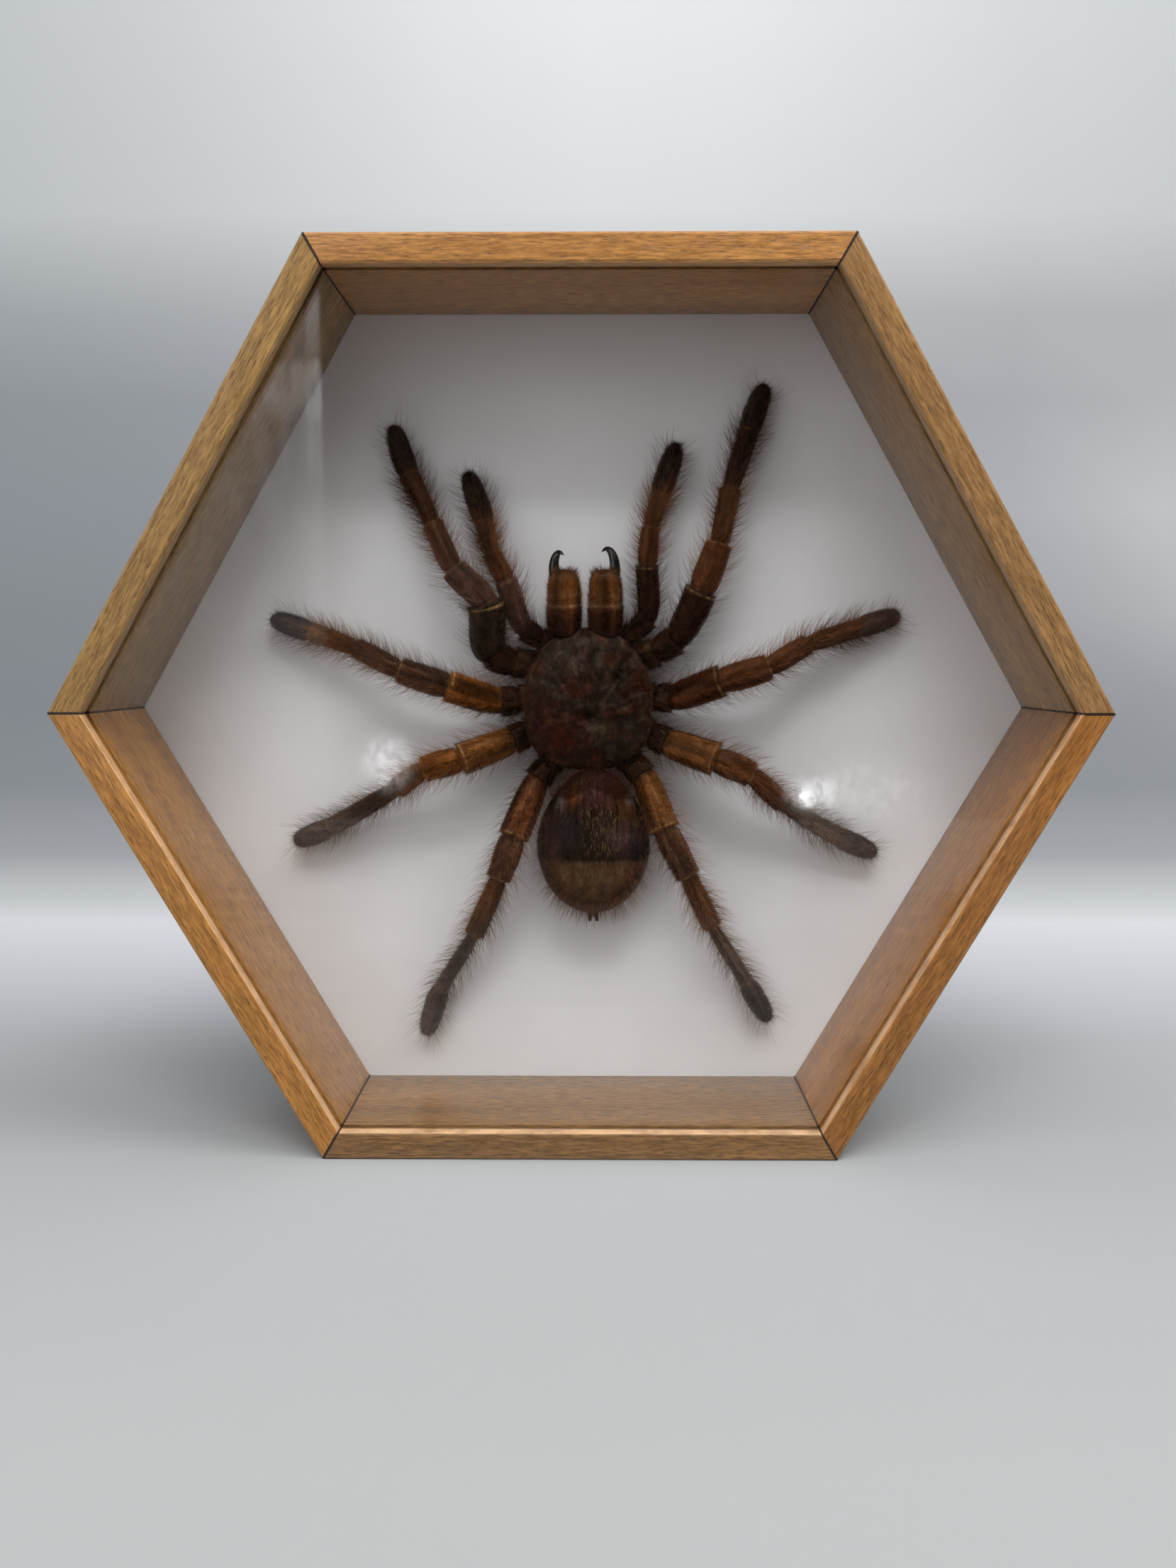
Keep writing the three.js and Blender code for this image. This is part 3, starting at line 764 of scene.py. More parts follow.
def plump(body, columns, rows, shape=None):
    """A rounded body lying on its back on the board: a sphere pressed to the size and outline."""
    bm = bmesh.new()
    bmesh.ops.create_uvsphere(bm, u_segments=columns, v_segments=rows, radius=1)
    spot = bm.verts.layers.float_vector.new("spot")
    for v in bm.verts:
        x, z, height = v.co
        distance = math.hypot(x, z)
        if distance > 1e-6:
            outline = 1 / reach_of(body, x / distance, z / distance)
            x, z = x * outline, z * outline
        v[spot] = (x, z, height)
        lift = body["rim"] + height * (body["above"] if height > 0 else body["below"])
        v.co = on_body(body, x, z, lift + details(shape, x, z, height))
    bmesh.ops.recalc_face_normals(bm, faces=bm.faces)
    return bm


def hump(distance, width):
    return math.exp(-(distance / width) ** 2)


def carapace_relief(x, z):
    """Height of the plate's details above its smooth dome, in millimetres."""
    from_fovea = Vector((x - FOVEA[0], z - FOVEA[1]))
    reach = from_fovea.length
    angle = abs(math.degrees(math.atan2(from_fovea.x, from_fovea.y)))
    high = 1.5 * hump(math.hypot(x / 0.55, (z - 0.38) / 0.62), 1.0)
    high -= 1.6 * hump(math.hypot(from_fovea.x / 1.9, from_fovea.y), 0.08)
    high += 1.2 * hump(math.hypot(x - EYE_KNOB[0], (z - EYE_KNOB[1]) * 1.2), 0.13)
    for groove in GROOVE_ANGLES:
        off = math.radians(abs(angle - groove)) * reach
        deep = 0.7 if groove == HEAD_GROOVE else 0.3
        high -= deep * hump(off, 0.055) * min(1, reach * 3) * max(0, 1 - (reach / 1.15) ** 4)
    return high + 0.3 * rough(x, z, 5, 5, 1) + 0.12 * rough(x, z, 16, 16, 6)


CARAPACE_GROUND = "#33241c"
MARBLE_PALE, MARBLE_RED = "#4e463a", "#42180c"
CARAPACE_PATCHES = (  # x, z, reach across and along, colour, share
    (-0.45, -0.55, 0.42, 0.34, "#3c1208", 0.85),
    (-0.62, -0.08, 0.24, 0.20, "#3c160b", 0.7),
    (0.48, -0.28, 0.34, 0.34, "#1f1c18", 0.8),
    (0.24, -0.40, 0.13, 0.09, "#5e5438", 0.5),
    (0.25, -0.80, 0.45, 0.14, "#1c0d07", 0.8),
    (-0.46, 0.44, 0.26, 0.28, "#302b24", 0.8),
    (0.18, 0.56, 0.24, 0.20, "#322d26", 0.8),
    (-0.04, 0.66, 0.08, 0.10, "#46404a", 0.6),
    (0.28, 0.86, 0.10, 0.07, "#5e1e12", 0.7),
    (-0.14, 0.24, 0.26, 0.18, "#40281f", 0.8),
    (0.50, 0.42, 0.10, 0.25, "#120b07", 0.8),
    (0.80, 0.22, 0.10, 0.30, "#4c261c", 0.7),
    (-0.60, -0.29, 0.30, 0.018, "#6a4a32", 0.5),
    (-0.03, -0.26, 0.13, 0.07, "#050303", 0.95),
)


def patched(ground, patches, x, z):
    """A ground colour with soft patches of other colours on it."""
    made = shade(ground)
    for patch_x, patch_z, across, along, code, share in patches:
        near = hump(math.hypot((x - patch_x) / across, (z - patch_z) / along), 1)
        made = made.lerp(shade(code), share * near)
    return made


MARGIN = "#74482e"
MARGIN_AT, MARGIN_WIDTH, MARGIN_SHARE = 0.93, 0.012, 0.6
MARGIN_ENDS = 0.6  # the worn line ends beside the head


def carapace_tint(x, z):
    """Dusky olive on the head, rust on the rear left, ashen on the rear right, black in the dimple.

    Pale and red flecks marble all of it, and a thin worn line runs inside the rim.
    """
    bent_x, bent_z = (s + 0.12 * rough(x, z, 6, 6, 20 + i) for i, s in enumerate((x, z)))
    mottle = rough(bent_x, bent_z, 5, 5, 7) + 0.5 * rough(x, z, 14, 14, 2) + 0.25 * rough(x, z, 36, 36, 3)
    angle = math.atan2(x - FOVEA[0], z - FOVEA[1])
    ray = rough(math.cos(angle), math.sin(angle), 9, 9, math.hypot(x, z) * 1.5)
    made = patched(CARAPACE_GROUND, CARAPACE_PATCHES, x, z)
    fleck = rough(bent_x, bent_z, 7, 7, 31) + 0.35 * rough(x, z, 24, 24, 32)
    ahead = 1 if x + z > -0.5 else 0.2
    made = made.lerp(shade(MARBLE_PALE), ahead * clamped(fleck * 1.4 - 0.1, most=0.55))
    fleck = rough(bent_x, bent_z, 4, 4, 51)
    made = made.lerp(shade(MARBLE_RED), clamped(fleck * 1.5, most=0.5))
    made = made * max(0.25, 1.0 + 0.75 * mottle + 0.35 * ray)
    if z >= MARGIN_ENDS:
        return made
    line = MARGIN_SHARE * hump(reach_of(CARAPACE, x, z) - MARGIN_AT, MARGIN_WIDTH)
    return made.lerp(shade(MARGIN), min(1, line * max(0, 0.5 + 1.5 * rough(x, z, 4, 4, 61))))


def tint_body(bm, tint_of):
    tint = bm.verts.layers.float_color.new("tint")
    lengthwise = bm.verts.layers.float_vector.new("lengthwise")
    spot = bm.verts.layers.float_vector["spot"]
    for v in bm.verts:
        x, z, height = v[spot]
        v[tint] = (*tint_of(x, z), 1)
        v[lengthwise] = (x * 2, height, z)


plate_cuticle = cuticle("plate_cuticle", 0.3, 0.25)
bm = plump(CARAPACE, 260, 130, carapace_relief)
tint_body(bm, carapace_tint)
piece(bm, "carapace_shield", plate_cuticle, "cuticle", "carapace")

# --- Sternum and pedicel ----------------------------------------------------------------------
# The plate between the legs, on the side of the board, and the thin stalk that joins the two halves
# of the body.

STERNUM = {"x": 1.7, "z": 106.5, "half_width": 8, "half_length": 11.5, "rim": 4, "above": 3,
           "below": 2.5, "squareness": 2.2, "front_taper": 0.2, "front_stretch": 1}
bm = plump(STERNUM, 48, 24)
tint_body(bm, lambda x, z: shade(COXA))
piece(bm, "breast_plate", plate_cuticle, "cuticle", "sternum")
bm = welded("pedicel")
tint = bm.verts.layers.float_color.new("tint")
lengthwise = bm.verts.layers.float_vector.new("lengthwise")
for v in bm.verts:
    v[tint] = colour(UMBER)
    v[lengthwise] = v.co / MM
round_skin(piece(bm, "waist_stalk", plate_cuticle, "cuticle", "pedicel"))

# --- Abdomen and spinnerets -------------------------------------------------------------------
# The soft rear body, dried to a wrinkled leathery bag. Its rear third is bare and olive brown, and
# two small spinnerets end it.

ABDOMEN = {"x": 3, "z": 69.7, "half_width": 14.2, "half_length": 17.5, "rim": 8.5, "above": 7.5,
           "below": 7, "squareness": 2, "front_taper": 0.27, "front_stretch": 1.13}
BARE_BELOW = -0.16


def abdomen_relief(x, z):
    wrinkle = rough(x, z, 5, 1.6, 4) + 0.5 * rough(x, z, 13, 3, 9)
    return 0.3 * wrinkle * (1 if z > BARE_BELOW else 0.4) - 0.3 * hump(z - BARE_BELOW - 0.03, 0.05)


ABDOMEN_GROUND = "#38261b"
ABDOMEN_PATCHES_AND_SHEEN = (
    (-0.42, 0.66, 0.15, 0.12, "#744018", 0.9),
    (0.58, 0.52, 0.22, 0.20, "#6a421f", 0.85),
    (0.10, 0.68, 0.26, 0.24, "#5a3330", 0.8),
    (-0.62, 0.60, 0.07, 0.10, "#8f8280", 0.6),
    (0.72, 0.62, 0.08, 0.08, "#a09290", 0.7),
    (0.50, 0.12, 0.26, 0.16, "#6a4a4a", 0.85),
    # Painted sheen: this purple patch on the right side.
    (0.70, 0.0, 0.10, 0.14, "#2c2038", 0.6),
    (-0.70, 0.02, 0.16, 0.26, "#5e3f3a", 0.75),
    (-0.45, 0.22, 0.20, 0.20, "#332f3a", 0.5),
    (0.33, 0.40, 0.07, 0.08, "#080504", 0.9),
)
BARE = "#64492f"
BARE_EDGE = "#48291d"
EDGE_DARK_FROM = 0.84


def abdomen_tint(x, z):
    """Dark and streaked lengthwise in front, rust and lilac towards the waist, olive brown behind, with a
    painted purple sheen on the right side.
    """
    streak = rough(x, z, 15, 2.2, 3) + 0.7 * rough(x, z, 34, 5, 8)
    front = patched(ABDOMEN_GROUND, ABDOMEN_PATCHES_AND_SHEEN, x, z) * max(0.25, 1.1 + 0.9 * streak)
    cloud = rough(x, z, 3.5, 3.5, 5) + 0.5 * rough(x, z, 11, 8, 6)
    aside = clamped((math.hypot(x, z + 0.1) - 0.5) / 0.4)
    rear = shade(BARE).lerp(shade(BARE_EDGE), aside) * (1 + 0.4 * cloud)
    ragged = BARE_BELOW + 0.11 * rough(x, 1, 22, 1, 1) + 0.05 * rough(x, 1, 60, 1, 1)
    made = front.lerp(rear, clamped((ragged - z) / 0.09))
    return made * (1 - 0.7 * clamped((math.hypot(x, z) - EDGE_DARK_FROM) / (1 - EDGE_DARK_FROM)))


bm = plump(ABDOMEN, 200, 100, abdomen_relief)
tint_body(bm, abdomen_tint)
piece(bm, "abdomen_skin", plate_cuticle, "cuticle", "abdomen")

SPINNERET_SPREAD = 0.75 * MM
SPINNERET_LENGTH = 2.6 * MM
SPINNERET_RADII = (0.85 * MM, 0.3 * MM)
SPINNERET_SPLAY = 0.15
SPINNERET_ROOT = (3.0 * MM, 52.2 * MM, 7.2 * MM)  # x, z and height above the board
bm = bmesh.new()
for side in (-1, 1):
    place = Matrix.Translation((SPINNERET_ROOT[0] + side * SPINNERET_SPREAD, BOARD_FACE - SPINNERET_ROOT[2],
                                SPINNERET_ROOT[1] - SPINNERET_LENGTH / 2))
    place = place @ Matrix.Rotation(math.pi - side * SPINNERET_SPLAY, 4, "Y")
    bmesh.ops.create_cone(bm, cap_ends=True, segments=16, radius1=SPINNERET_RADII[0],
                          radius2=SPINNERET_RADII[1], depth=SPINNERET_LENGTH, matrix=place)
bm.verts.layers.float_vector.new("spot")
tint_body(bm, lambda x, z: shade(SOOT))
cones = piece(bm, "spinneret_pair", plate_cuticle, "cuticle", "spinnerets")
ease_edges(cones, 0.2 * MM)

# --- Chelicerae -------------------------------------------------------------------------------
# The two jaws stick out in front of the head, side by side. They are stout, furry and rust brown,
# with a paler band where the folded skin of the base begins.

JAW_X = {"chelicera_left": -4.2, "chelicera_right": 5.95}
JAW_BASE, JAW_TIP = (121, 9.2), (138.3, 10.5)  # z and height above the board
JAW_RADIUS = 4.1
JAW_PROFILE = (
    (0.0, 0.7), (0.03, 0.88), (0.08, 0.97), (0.2, 1.03), (0.34, 1.06), (0.44, 1.07), (0.46, 1.05),
    (0.475, 1.0), (0.5, 1.0), (0.515, 1.03), (0.56, 1.03), (0.61, 1.03), (0.63, 1.04), (0.65, 1.01),
    (0.72, 0.98), (0.8, 0.94), (0.86, 0.88), (0.91, 0.79), (0.95, 0.66), (0.98, 0.48), (1.0, 0.2),
)
JAW_TINTS = (  # from each share of the length on
    (0.0, "#2a150a"), (0.3, "#381c0c"), (0.43, "#4c2a14"), (0.455, "#6c4c32"), (0.465, "#7c5e42"),
    (0.49, "#684628"), (0.51, "#5e3818"), (0.6, "#684426"), (0.62, "#6a482c"), (0.64, "#5a3414"),
    (0.72, "#623a16"), (0.86, "#6a4526"), (0.93, "#4a2e1c"),
)
JAW_FOLDS = 0.1 * MM
JAW_SEED = 31
JAW_TUFT_FROM = 0.9
JAW_PILE = {**PILE, "count": 4500}
JAW_BRISTLES = {**BRISTLES, "count": 700, "length": (0.6, 1.9), "shine": 0.9}
for name, x in JAW_X.items():
    start, end = (Vector((x * MM, BOARD_FACE - high * MM, z * MM)) for z, high in (JAW_BASE, JAW_TIP))
    along = (end - start).normalized()
    side = along.cross(Vector((0, -1, 0))).normalized()
    rings = []
    for share, width in JAW_PROFILE:
        own = [shade(code) for reached, code in JAW_TINTS if reached <= share][-1]
        rings.append({"place": start.lerp(end, share), "along": along, "side": side,
                      "up": side.cross(along), "radius": JAW_RADIUS * width * MM, "tint": own, "at": share,
                      "tube": int(share > JAW_TUFT_FROM), "share": 0.5, "rim": 0})
    seed = JAW_SEED + x
    round_skin(piece(limb_skin(rings, JAW_FOLDS, seed), name + "_cuticle", leg_cuticle, "cuticle", name))
    limb_hair(name + "_pile", rings, JAW_PILE, [1.0, 1.0], seed)
    limb_hair(name + "_bristles", rings, JAW_BRISTLES, [0.5, 4.0], seed)

# --- Fangs ------------------------------------------------------------------------------------
# A hard, glossy black hook at the end of each jaw, thick at its root and drawn out to a fine point. It
# is the same cuticle as the rest, hardened like horn.

FANG_JOINTS = {  # (x, z, height above the board)
    "fang_left": ((-6.2, 135.8, 10), (-7.7, 140.2, 10.5), (-6.4, 142.6, 9.5), (-4.3, 141.6, 8)),
    "fang_right": ((7.9, 135.8, 10), (9.3, 140.9, 10.5), (7.6, 143.5, 9.5), (5.0, 142.4, 8)),
}
FANG_BASE_RADIUS, FANG_TIP_RADIUS = 1.42, 0.12
FANG_STEPS, FANG_SIDES = 14, 16
FANG_STOUTNESS = 1.7  # power of its taper, so that it stays thick over its first half
FANG_HOOK = 0.6  # how far its curve overshoots the third point

horn = new_material("black_horn")
mottle = speckle(horn, object_place(horn), 700.0)
surface(horn, {"Base Color": ramp(horn, mottle, (0.3, "#080606"), (0.7, "#17100d")), "Roughness": 0.16,
               "Specular IOR Level": 0.6, "Coat Weight": 0.4})
for name, joints in FANG_JOINTS.items():
    a, b, c, d = (Vector((x * MM, BOARD_FACE - height * MM, z * MM)) for x, z, height in joints)
    pull = c + (c - b) * FANG_HOOK
    matrices = []
    for step in range(FANG_STEPS + 1):
        t = step / FANG_STEPS
        place = a * (1 - t) ** 3 + b * 3 * t * (1 - t) ** 2 + pull * 3 * t ** 2 * (1 - t) + d * t ** 3
        ahead = ((b - a) * (1 - t) + (d - c) * t).normalized()
        side = ahead.cross(Vector((0, -1, 0))).normalized()
        width = (FANG_BASE_RADIUS * (1 - t ** FANG_STOUTNESS) + FANG_TIP_RADIUS * t) * MM
        matrices.append(ring_matrix({"side": side, "up": side.cross(ahead), "along": ahead,
                                     "radius": width, "place": place}))
    bm = bmesh.new()
    rings = skin(bm, matrices, FANG_SIDES)
    close_pole(bm, rings[0])
    close_pole(bm, rings[-1])
    bmesh.ops.recalc_face_normals(bm, faces=bm.faces)
    piece(bm, name + "_hook", horn, "fang", name)

# --- Eyes -------------------------------------------------------------------------------------
# Eight small glossy lenses, close together on the knob at the front of the carapace. They are clear
# cuticle over a dark ground.

EYES = ((-0.55, 0.25, 0.34), (0.55, 0.25, 0.34), (-1.15, 0.75, 0.26), (1.15, 0.75, 0.26),
        (-1.2, -0.3, 0.24), (1.2, -0.3, 0.24), (-0.7, -0.55, 0.2), (0.7, -0.55, 0.2))  # x, z, radius

lens = new_material("eye_lens")
depth = speckle(lens, object_place(lens), 300.0)
surface(lens, {"Base Color": ramp(lens, depth, (0.4, "#1a1410"), (0.7, "#4a4038")), "Roughness": 0.08,
               "Coat Weight": 0.8})
bm = bmesh.new()
for x, z, radius in EYES:
    spot_x = EYE_KNOB[0] + x / CARAPACE["half_width"]
    spot_z = EYE_KNOB[1] + z / CARAPACE["half_length"]
    dome = math.sqrt(max(0, 1 - spot_x ** 2 - spot_z ** 2))
    lift = CARAPACE["rim"] + CARAPACE["above"] * dome + carapace_relief(spot_x, spot_z)
    place = Matrix.Translation(on_body(CARAPACE, spot_x, spot_z, lift))
    bmesh.ops.create_icosphere(bm, subdivisions=3, radius=radius * MM, matrix=place)
piece(bm, "eyes", lens, "fang")

# --- Hair of the body -------------------------------------------------------------------------
# Short hair lies outwards over the carapace, with a pale fringe on its rim. The abdomen is brushed
# backwards, has pale bristles on its back and a beard of long hair round its rear end.

OUTERMOST = 0.995
HAIR_LIFT = 0.02
DROOP = 0.12


def body_hair(name, body, hairs, tint_of, where, flow, shape=None, ruffle=0.18):
    """Hair on a rounded body, where a test of the spot says so. The flow is the direction it leans in."""
    roots, aims, tints = [], [], []
    while len(roots) < hairs["count"]:
        x, z = draw.uniform(-1, 1, 2)
        reach = reach_of(body, x, z)
        if reach >= OUTERMOST or draw.random() > where(x, z, reach):
            continue
        height = math.sqrt(1 - reach ** 2)
        lift = body["rim"] + body["above"] * height + details(shape, x, z, height)
        roots.append(on_body(body, x, z, lift + HAIR_LIFT))
        up = Vector((x / body["half_width"], -height / body["above"], z / body["half_length"])).normalized()
        across, along = flow(x, z)
        lean = Vector((across, 0, along)).normalized() * hairs["lean"]
        aims.append(up + lean + Vector(draw.normal(0, ruffle, 3)))
        tints.append(Vector(tint_of(x, z)) * hairs.get("shine", 1.0) * draw.uniform(0.8, 1.25))
    lengths = draw.uniform(*hairs["length"], hairs["count"]) * MM
    bend = np.array(aims) * 0
    bend[:, 1] = DROOP
    hair_piece(name, np.array(roots), np.array(aims), lengths, hairs["radius"] * MM, bend, np.array(tints),
               hairs.get("steps", 1))


def outwards(x, z):
    return x + 0.001, z


def backwards(x, z):
    return x * 0.5, -1


def trailing(x, z):
    return x * 0.6, z - 0.6


def straight_back(x, z):
    return draw.uniform(-0.35, 0.35), -1


def in_one_tint(code):
    return lambda x, z: shade(code)


body_hair("carapace_pile", CARAPACE, {"count": 9000, "length": (0.4, 1.0), "radius": 0.022, "lean": 2.6},
          carapace_tint, lambda x, z, reach: 0.35 + 0.65 * reach ** 2, outwards, carapace_relief)
fringe = {"count": 1200, "length": (0.5, 1.3), "radius": 0.026, "lean": 1.2, "shine": 0.8}
body_hair("carapace_fringe", CARAPACE, fringe, in_one_tint("#5c4030"),
          lambda x, z, reach: reach > 0.955 and abs(x) > 0.85 and z < 0.45, outwards)
body_hair("abdomen_pile", ABDOMEN, {"count": 15000, "length": (0.7, 1.6), "radius": 0.03, "lean": 2.4},
          abdomen_tint, lambda x, z, reach: 1.0 if z > BARE_BELOW else 0.12, backwards, abdomen_relief)
pale = {"count": 170, "length": (0.5, 1.7), "radius": 0.075, "lean": 4.0, "steps": 2, "shine": 0.9}
body_hair("abdomen_pale_bristles", ABDOMEN, pale, in_one_tint("#9a8656"),
          lambda x, z, reach: -0.2 < x < 0.46 and -0.06 < z < 0.56, straight_back, abdomen_relief)
beard = {"count": 1300, "length": (1.2, 5.8), "radius": 0.026, "lean": 1.3, "steps": 3}
body_hair("abdomen_beard", ABDOMEN, beard, in_one_tint("#6a4a3a"),
          lambda x, z, reach: (0.12 + 0.88 * max(0, -z)) * (reach > 0.82 and z < 0.4), trailing, ruffle=0.4)
tufts = {"count": 1400, "length": (1.4, 3.6), "radius": 0.04, "lean": 1.2, "steps": 2}
body_hair("abdomen_shoulder_tufts", ABDOMEN, tufts, in_one_tint("#3c1f14"),
          lambda x, z, reach: reach > 0.72 and z > 0.6, outwards)

# --- Floor, backdrop and light ----------------------------------------------------------------
# A pale seamless sweep, lit softly from above, with painted light and shade in its tones, and a dim
# room that only the glass mirrors. None of it is part of the object.

SWEEP_WIDTH = 6.0
SWEEP_BEND = 0.3
SWEEP_STRIPS = 60
SWEEP_PROFILE_WITH_PAINTED_LIGHT = (  # distance behind the box, height, tone, with painted shade at the box and a painted pale band behind it
    (-3.0, 0.0, "#adb0b2"), (-0.13, 0.0, "#aaadae"), (0.0, 0.0, "#a2a5a8"), (0.07, 0.0, "#aaadb1"),
    (0.13, 0.0, "#b9bcc2"), (0.23, 0.0, "#cfd2d6"), (0.28, 0.0, "#bdc1c4"),
)
# Painted shade: the bend is darker than the floor and the wall.
BEND_PAINTED_SHADE = ("#96999d", "#808488", "#7b7f85", "#7f8388", "#878b91", "#8c9095")
# Painted light: the wall is darker at its foot and paler above.
WALL_TONES_WITH_PAINTED_LIGHT = ((0.36, "#9a9ea2"), (0.43, "#b4b8bb"), (0.58, "#b6babd"), (0.9, "#b0b4b7"), (2.6, "#b0b4b7"))
PAINTED_LIGHT_POOLS = (  # painted pools of light: x, z, their reach each way, share
    (0.0, 0.53, 0.28, 0.18, 0.4),
    (0.48, 0.22, 0.2, 0.12, 0.3),
)

paper = new_material("grey_sweep")
surface(paper, {"Base Color": painted(paper, "tint"), "Roughness": 0.85, "Specular IOR Level": 0.1})
line = list(SWEEP_PROFILE_WITH_PAINTED_LIGHT)
start = line[-1][0]
for step, code in enumerate(BEND_PAINTED_SHADE, 1):
    angle = step / len(BEND_PAINTED_SHADE) * math.pi / 2
    line.append((start + SWEEP_BEND * math.sin(angle), SWEEP_BEND * (1 - math.cos(angle)), code))
line += [(start + SWEEP_BEND, height, code) for height, code in WALL_TONES_WITH_PAINTED_LIGHT]
bm = bmesh.new()
tint = bm.verts.layers.float_color.new("tint")
edge = []
for back, height, code in line:
    edge.append(bm.verts.new((-SWEEP_WIDTH / 2, back, height)))
    edge[-1][tint] = colour(code)
edges = [bm.edges.new(pair) for pair in zip(edge, edge[1:])]
for strip in range(SWEEP_STRIPS):
    grown = bmesh.ops.extrude_edge_only(bm, edges=edges)["geom"]
    edges = [g for g in grown if isinstance(g, bmesh.types.BMEdge) and g.is_boundary]
    edges = [e for e in edges if all(v in grown for v in e.verts)]
    verts = [g for g in grown if isinstance(g, bmesh.types.BMVert)]
    bmesh.ops.translate(bm, vec=(SWEEP_WIDTH / SWEEP_STRIPS, 0, 0), verts=verts)
for v in bm.verts:
    for x, z, across, up, share in PAINTED_LIGHT_POOLS:
        near = hump(math.hypot((v.co.x - x) / across, (v.co.z - z) / up), 1)
        v[tint] = Vector(v[tint]).lerp(Vector(colour("#ffffff")), share * near)


def stage_piece(bm, name, material):
    made = finished(mesh_of(bm, name), material)
    return made


def mirrored_card(bm, name, material, tone, strength):
    """A glowing card that only the glass mirrors."""
    glow = add(material, "ShaderNodeEmission", {"Color": tone, "Strength": strength}).outputs["Emission"]
    set_inputs(material, material.node_tree.nodes["Material Output"], {"Surface": glow})
    card = stage_piece(bm, name, material)
    card.visible_camera = card.visible_diffuse = card.visible_shadow = False


stage_piece(bm, "sweep", paper)

ROOM_CARD = 0.62  # distance in front of the middle of the box
ROOM_DIM, ROOM_PALE = 0.03, 0.24
DARK_MIDDLE = (0.09, 0.21)  # the darkness of the middle ends over this distance from it, on each side
DARK_PART = {"left": -0.193, "right": 0.223, "bottom": 0.0}
GLINTS = (  # x, z, half width, half height, brightness
    (0.198, 0.021, 0.044, 0.021, 1.3), (0.163, 0.019, 0.017, 0.011, 4.0), (0.157, 0.015, 0.006, 0.006, 7.0),
    (-0.150, 0.042, 0.016, 0.018, 4.0),
)
GLINT_SIZE = (1.6, 0.3)  # shares of those halves where a glint begins and where it is full
CURTAIN_TOP = 0.4
CURTAIN_TONES = (  # share of that height, tone of the pale curtain beside the dark part
    (0.3, "#000000"), (0.58, "#8c8c8c"), (0.71, "#a0a0a0"), (0.76, "#ffffff"), (0.81, "#f0f0f0"),
    (0.83, "#909090"), (0.87, "#a8a8a8"), (0.95, "#d8d8d8"),
)
CURTAIN = 1.5
CURTAIN_HEM, HEM_GAIN = 0.012, 0.5  # the width of its brighter edge, and how much brighter that is
RIGHT_DIMMING = 0.6
ROOM_LIGHT = (0.96, 0.98, 1.0, 1)

room = new_material("mirrored_room")
anywhere = object_place(room)
where = add(room, "ShaderNodeSeparateXYZ", {"Vector": anywhere}).outputs


def beyond(axis, place, softness):
    """Rises from 0 to 1 where this coordinate passes a place."""
    return rescaled(room, where[axis], place - softness, place + softness)


def less(first, second):
    return maths(room, "SUBTRACT", first, second)


right_of_dark = beyond("X", DARK_PART["right"], softness=0.004)
inside = both(room, beyond("X", DARK_PART["left"], softness=0.004),
              beyond("Z", DARK_PART["bottom"], softness=0.02))
inside = both(room, inside, less(1.0, right_of_dark))
level = less(ROOM_PALE, both(room, inside, ROOM_PALE - ROOM_DIM))
folds = rescaled(room, streaked(room, anywhere, (110, 1, 22)), 0.36, 0.64, 0.5, 1.25, ends="LINEAR")
curtain = ramp(room, maths(room, "DIVIDE", where["Z"], CURTAIN_TOP), *CURTAIN_TONES)
curtain = both(room, both(room, curtain, CURTAIN), folds)
hem = both(room, beyond("X", DARK_PART["left"] - CURTAIN_HEM, softness=0.004), HEM_GAIN)
curtain = both(room, curtain, maths(room, "ADD", hem, 1.0 - HEM_GAIN / 2))
left_of_dark = less(1.0, beyond("X", DARK_PART["left"], softness=0.002))
level = maths(room, "ADD", level, both(room, curtain, left_of_dark))
level = both(room, level, less(1.0, both(room, right_of_dark, RIGHT_DIMMING)))
off_middle = maths(room, "ABSOLUTE", where["X"], 0.0)
level = both(room, level, rescaled(room, off_middle, *DARK_MIDDLE, least=0.12))
broken = rescaled(room, streaked(room, anywhere, (150, 1, 110)), 0.38, 0.6, least=0.3, ends="LINEAR")
for x, z, half_width, half_height, strength in GLINTS:
    local = seen_from(room, anywhere, (x, -ROOM_CARD, z), (half_width, 1, half_height))
    reach = add(room, "ShaderNodeVectorMath", {"Vector": local}, operation="LENGTH")
    dome = both(room, rescaled(room, reach.outputs["Value"], *GLINT_SIZE), broken)
    level = maths(room, "ADD", level, both(room, dome, strength))
bm = bmesh.new()
upright = Matrix.Translation((0, -ROOM_CARD, 2.0)) @ Matrix.Rotation(math.pi / 2, 4, "X")
bmesh.ops.create_grid(bm, x_segments=1, y_segments=1, size=2.0, matrix=upright)
mirrored_card(bm, "mirrored_room_card", room, ROOM_LIGHT, level)

TABLE_GLOW = 0.3
TABLE_DARK = (0.07, 0.18)  # dark in front of the box's middle, from this distance to this
TABLE_DARK_PLACE = (0, -0.225, 0)  # its middle, after the depth is pressed by this scale
TABLE_DARK_SCALE = (1, 0.45, 0)
TABLE_NEAR, TABLE_FAR = 0.03, 0.62  # in front of the middle of the box
TABLE_HEIGHT = 0.2 * MM
TABLE_LIGHT = (1.0, 0.97, 0.95, 1)

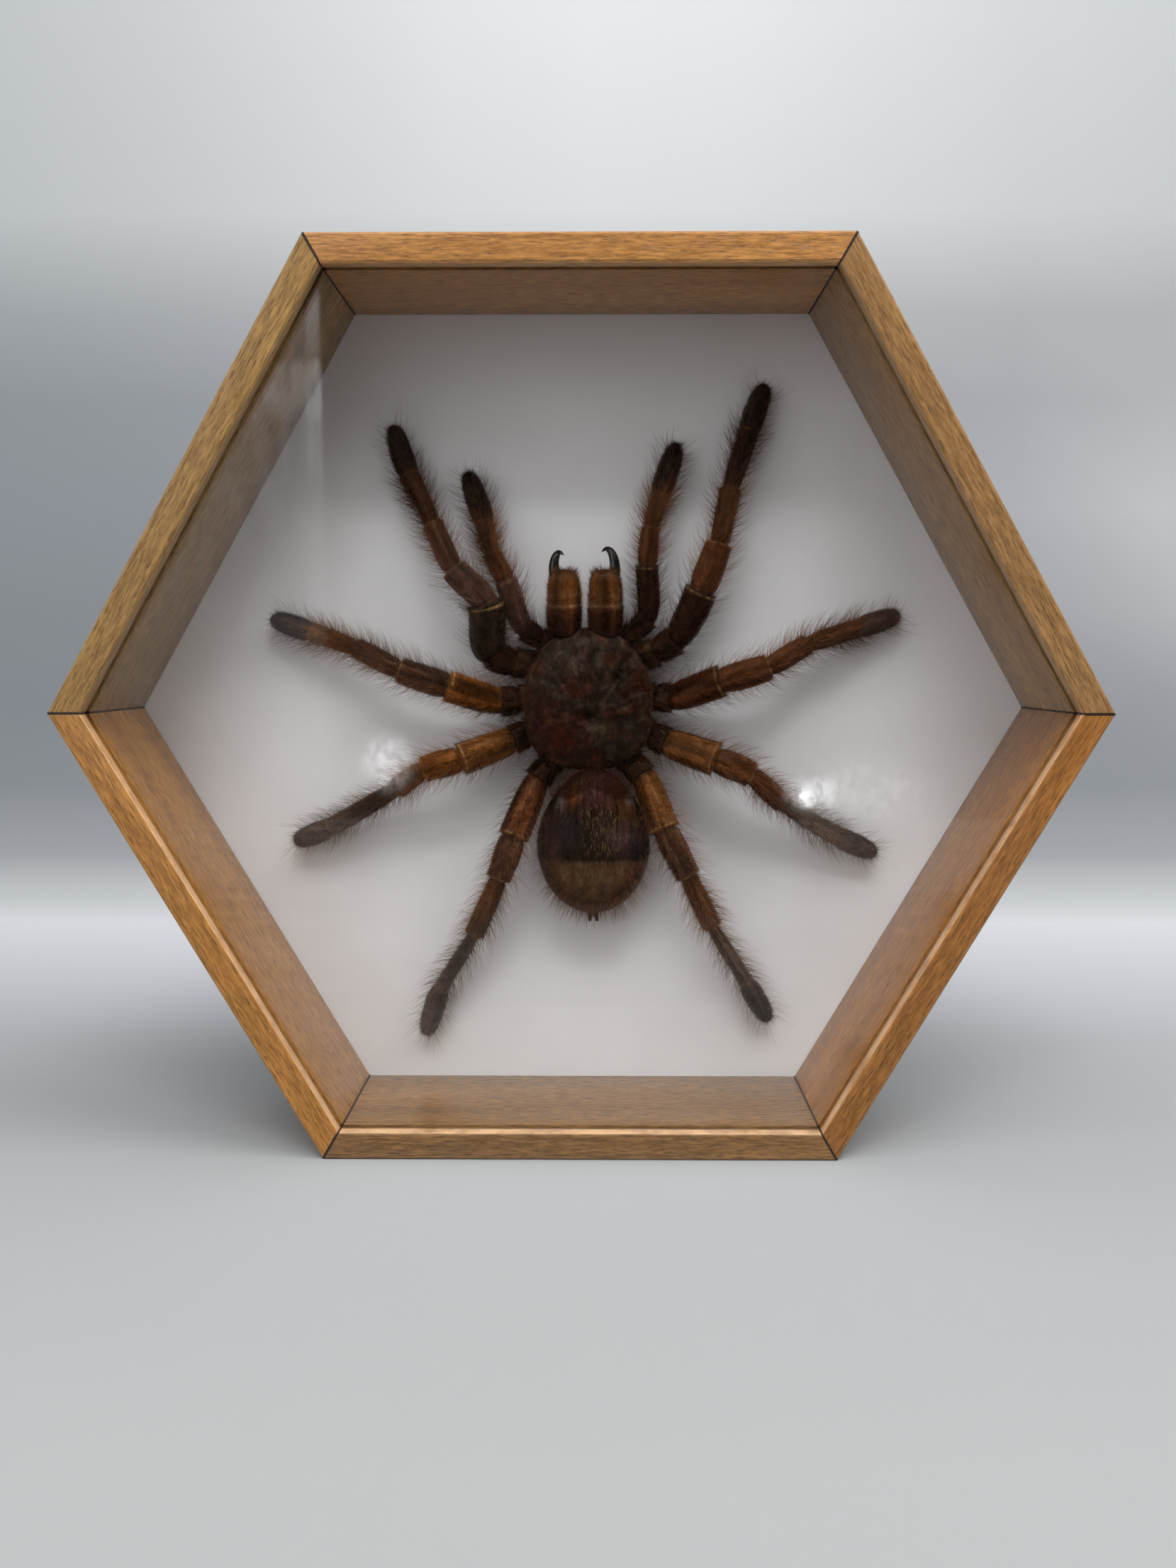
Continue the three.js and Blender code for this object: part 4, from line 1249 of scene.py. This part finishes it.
table_top = new_material("mirrored_table")
place = object_place(table_top)
pressed = add(table_top, "ShaderNodeVectorMath", {0: place, 1: TABLE_DARK_SCALE}, operation="MULTIPLY")
off_middle = add(table_top, "ShaderNodeVectorMath", {0: pressed.outputs["Vector"], 1: TABLE_DARK_PLACE},
                 operation="DISTANCE").outputs["Value"]
strength = rescaled(table_top, off_middle, *TABLE_DARK, ROOM_DIM, TABLE_GLOW)
streaks = rescaled(table_top, streaked(table_top, place, (5, 50, 1)), 0.4, 0.62, 0.8, 1.4, ends="LINEAR")
bm = bmesh.new()
across = Matrix.Diagonal((4, TABLE_FAR - TABLE_NEAR, 1, 1))
bmesh.ops.create_grid(bm, x_segments=1, y_segments=1, size=0.5, matrix=across)
bmesh.ops.translate(bm, vec=(0, -(TABLE_NEAR + TABLE_FAR) / 2, TABLE_HEIGHT), verts=bm.verts)
mirrored_card(bm, "mirrored_table_card", table_top, TABLE_LIGHT, both(table_top, strength, streaks))

world = bpy.data.worlds.new("soft_room")
world.use_nodes = True
world.node_tree.nodes["Background"].inputs["Color"].default_value = (0.9, 0.93, 0.96, 1)
world.node_tree.nodes["Background"].inputs["Strength"].default_value = 0.34
bpy.context.scene.world = world

WARM_WHITE = (1.0, 0.98, 0.95)
SOFT_LIGHTS = {  # place, what it points at, width and height, power, colour
    "ceiling": ((0.14, -0.45, 1.3), (0, 0, 0.08), (2.0, 0.7), 14.2, WARM_WHITE),
    "right_side": ((1.0, -0.5, 1.2), (0, 0, 0.08), (0.8, 0.8), 6.5, WARM_WHITE),
    "lamp": ((0.05, -1.04, 1.43), (0, 0, 0.12), (0.9, 0.14), 8.8, (1.0, 0.99, 0.98)),
    "front_fill": ((-0.9, -1.3, 0.5), (0, 0, 0.1), (1.4, 0.9), 6.0, (1, 1, 1)),
}
for name, (place, target, size, power, tone) in SOFT_LIGHTS.items():
    lamp = bpy.data.lights.new(name, "AREA")
    lamp.shape = "RECTANGLE"
    lamp.size, lamp.size_y = size
    lamp.energy = power
    lamp.color = tone
    made = bpy.data.objects.new(name, lamp)
    made.location = place
    made.rotation_euler = (Vector(target) - Vector(place)).to_track_quat("-Z", "Y").to_euler()
    bpy.context.scene.collection.objects.link(made)

# --- Camera -----------------------------------------------------------------------------------
# A phone camera, close in front of the box. It stands a little above the box's middle and is tilted
# slightly down.

CAMERA_PLACE = (4.0 * MM, -291.0 * MM, 115.5 * MM)
CAMERA_TURN = (math.radians(84.15), 0, math.radians(0.45))
SENSOR, LENS = 36, 27.3418  # millimetres, the sensor along the picture's height

camera = bpy.data.objects.new("camera", bpy.data.cameras.new("camera"))
camera.location = CAMERA_PLACE
camera.rotation_euler = CAMERA_TURN
camera.data.lens = LENS
camera.data.sensor_width = SENSOR
camera.data.clip_start = 0.01
bpy.context.scene.collection.objects.link(camera)
bpy.context.scene.camera = camera
bpy.context.scene.view_settings.view_transform = "Standard"
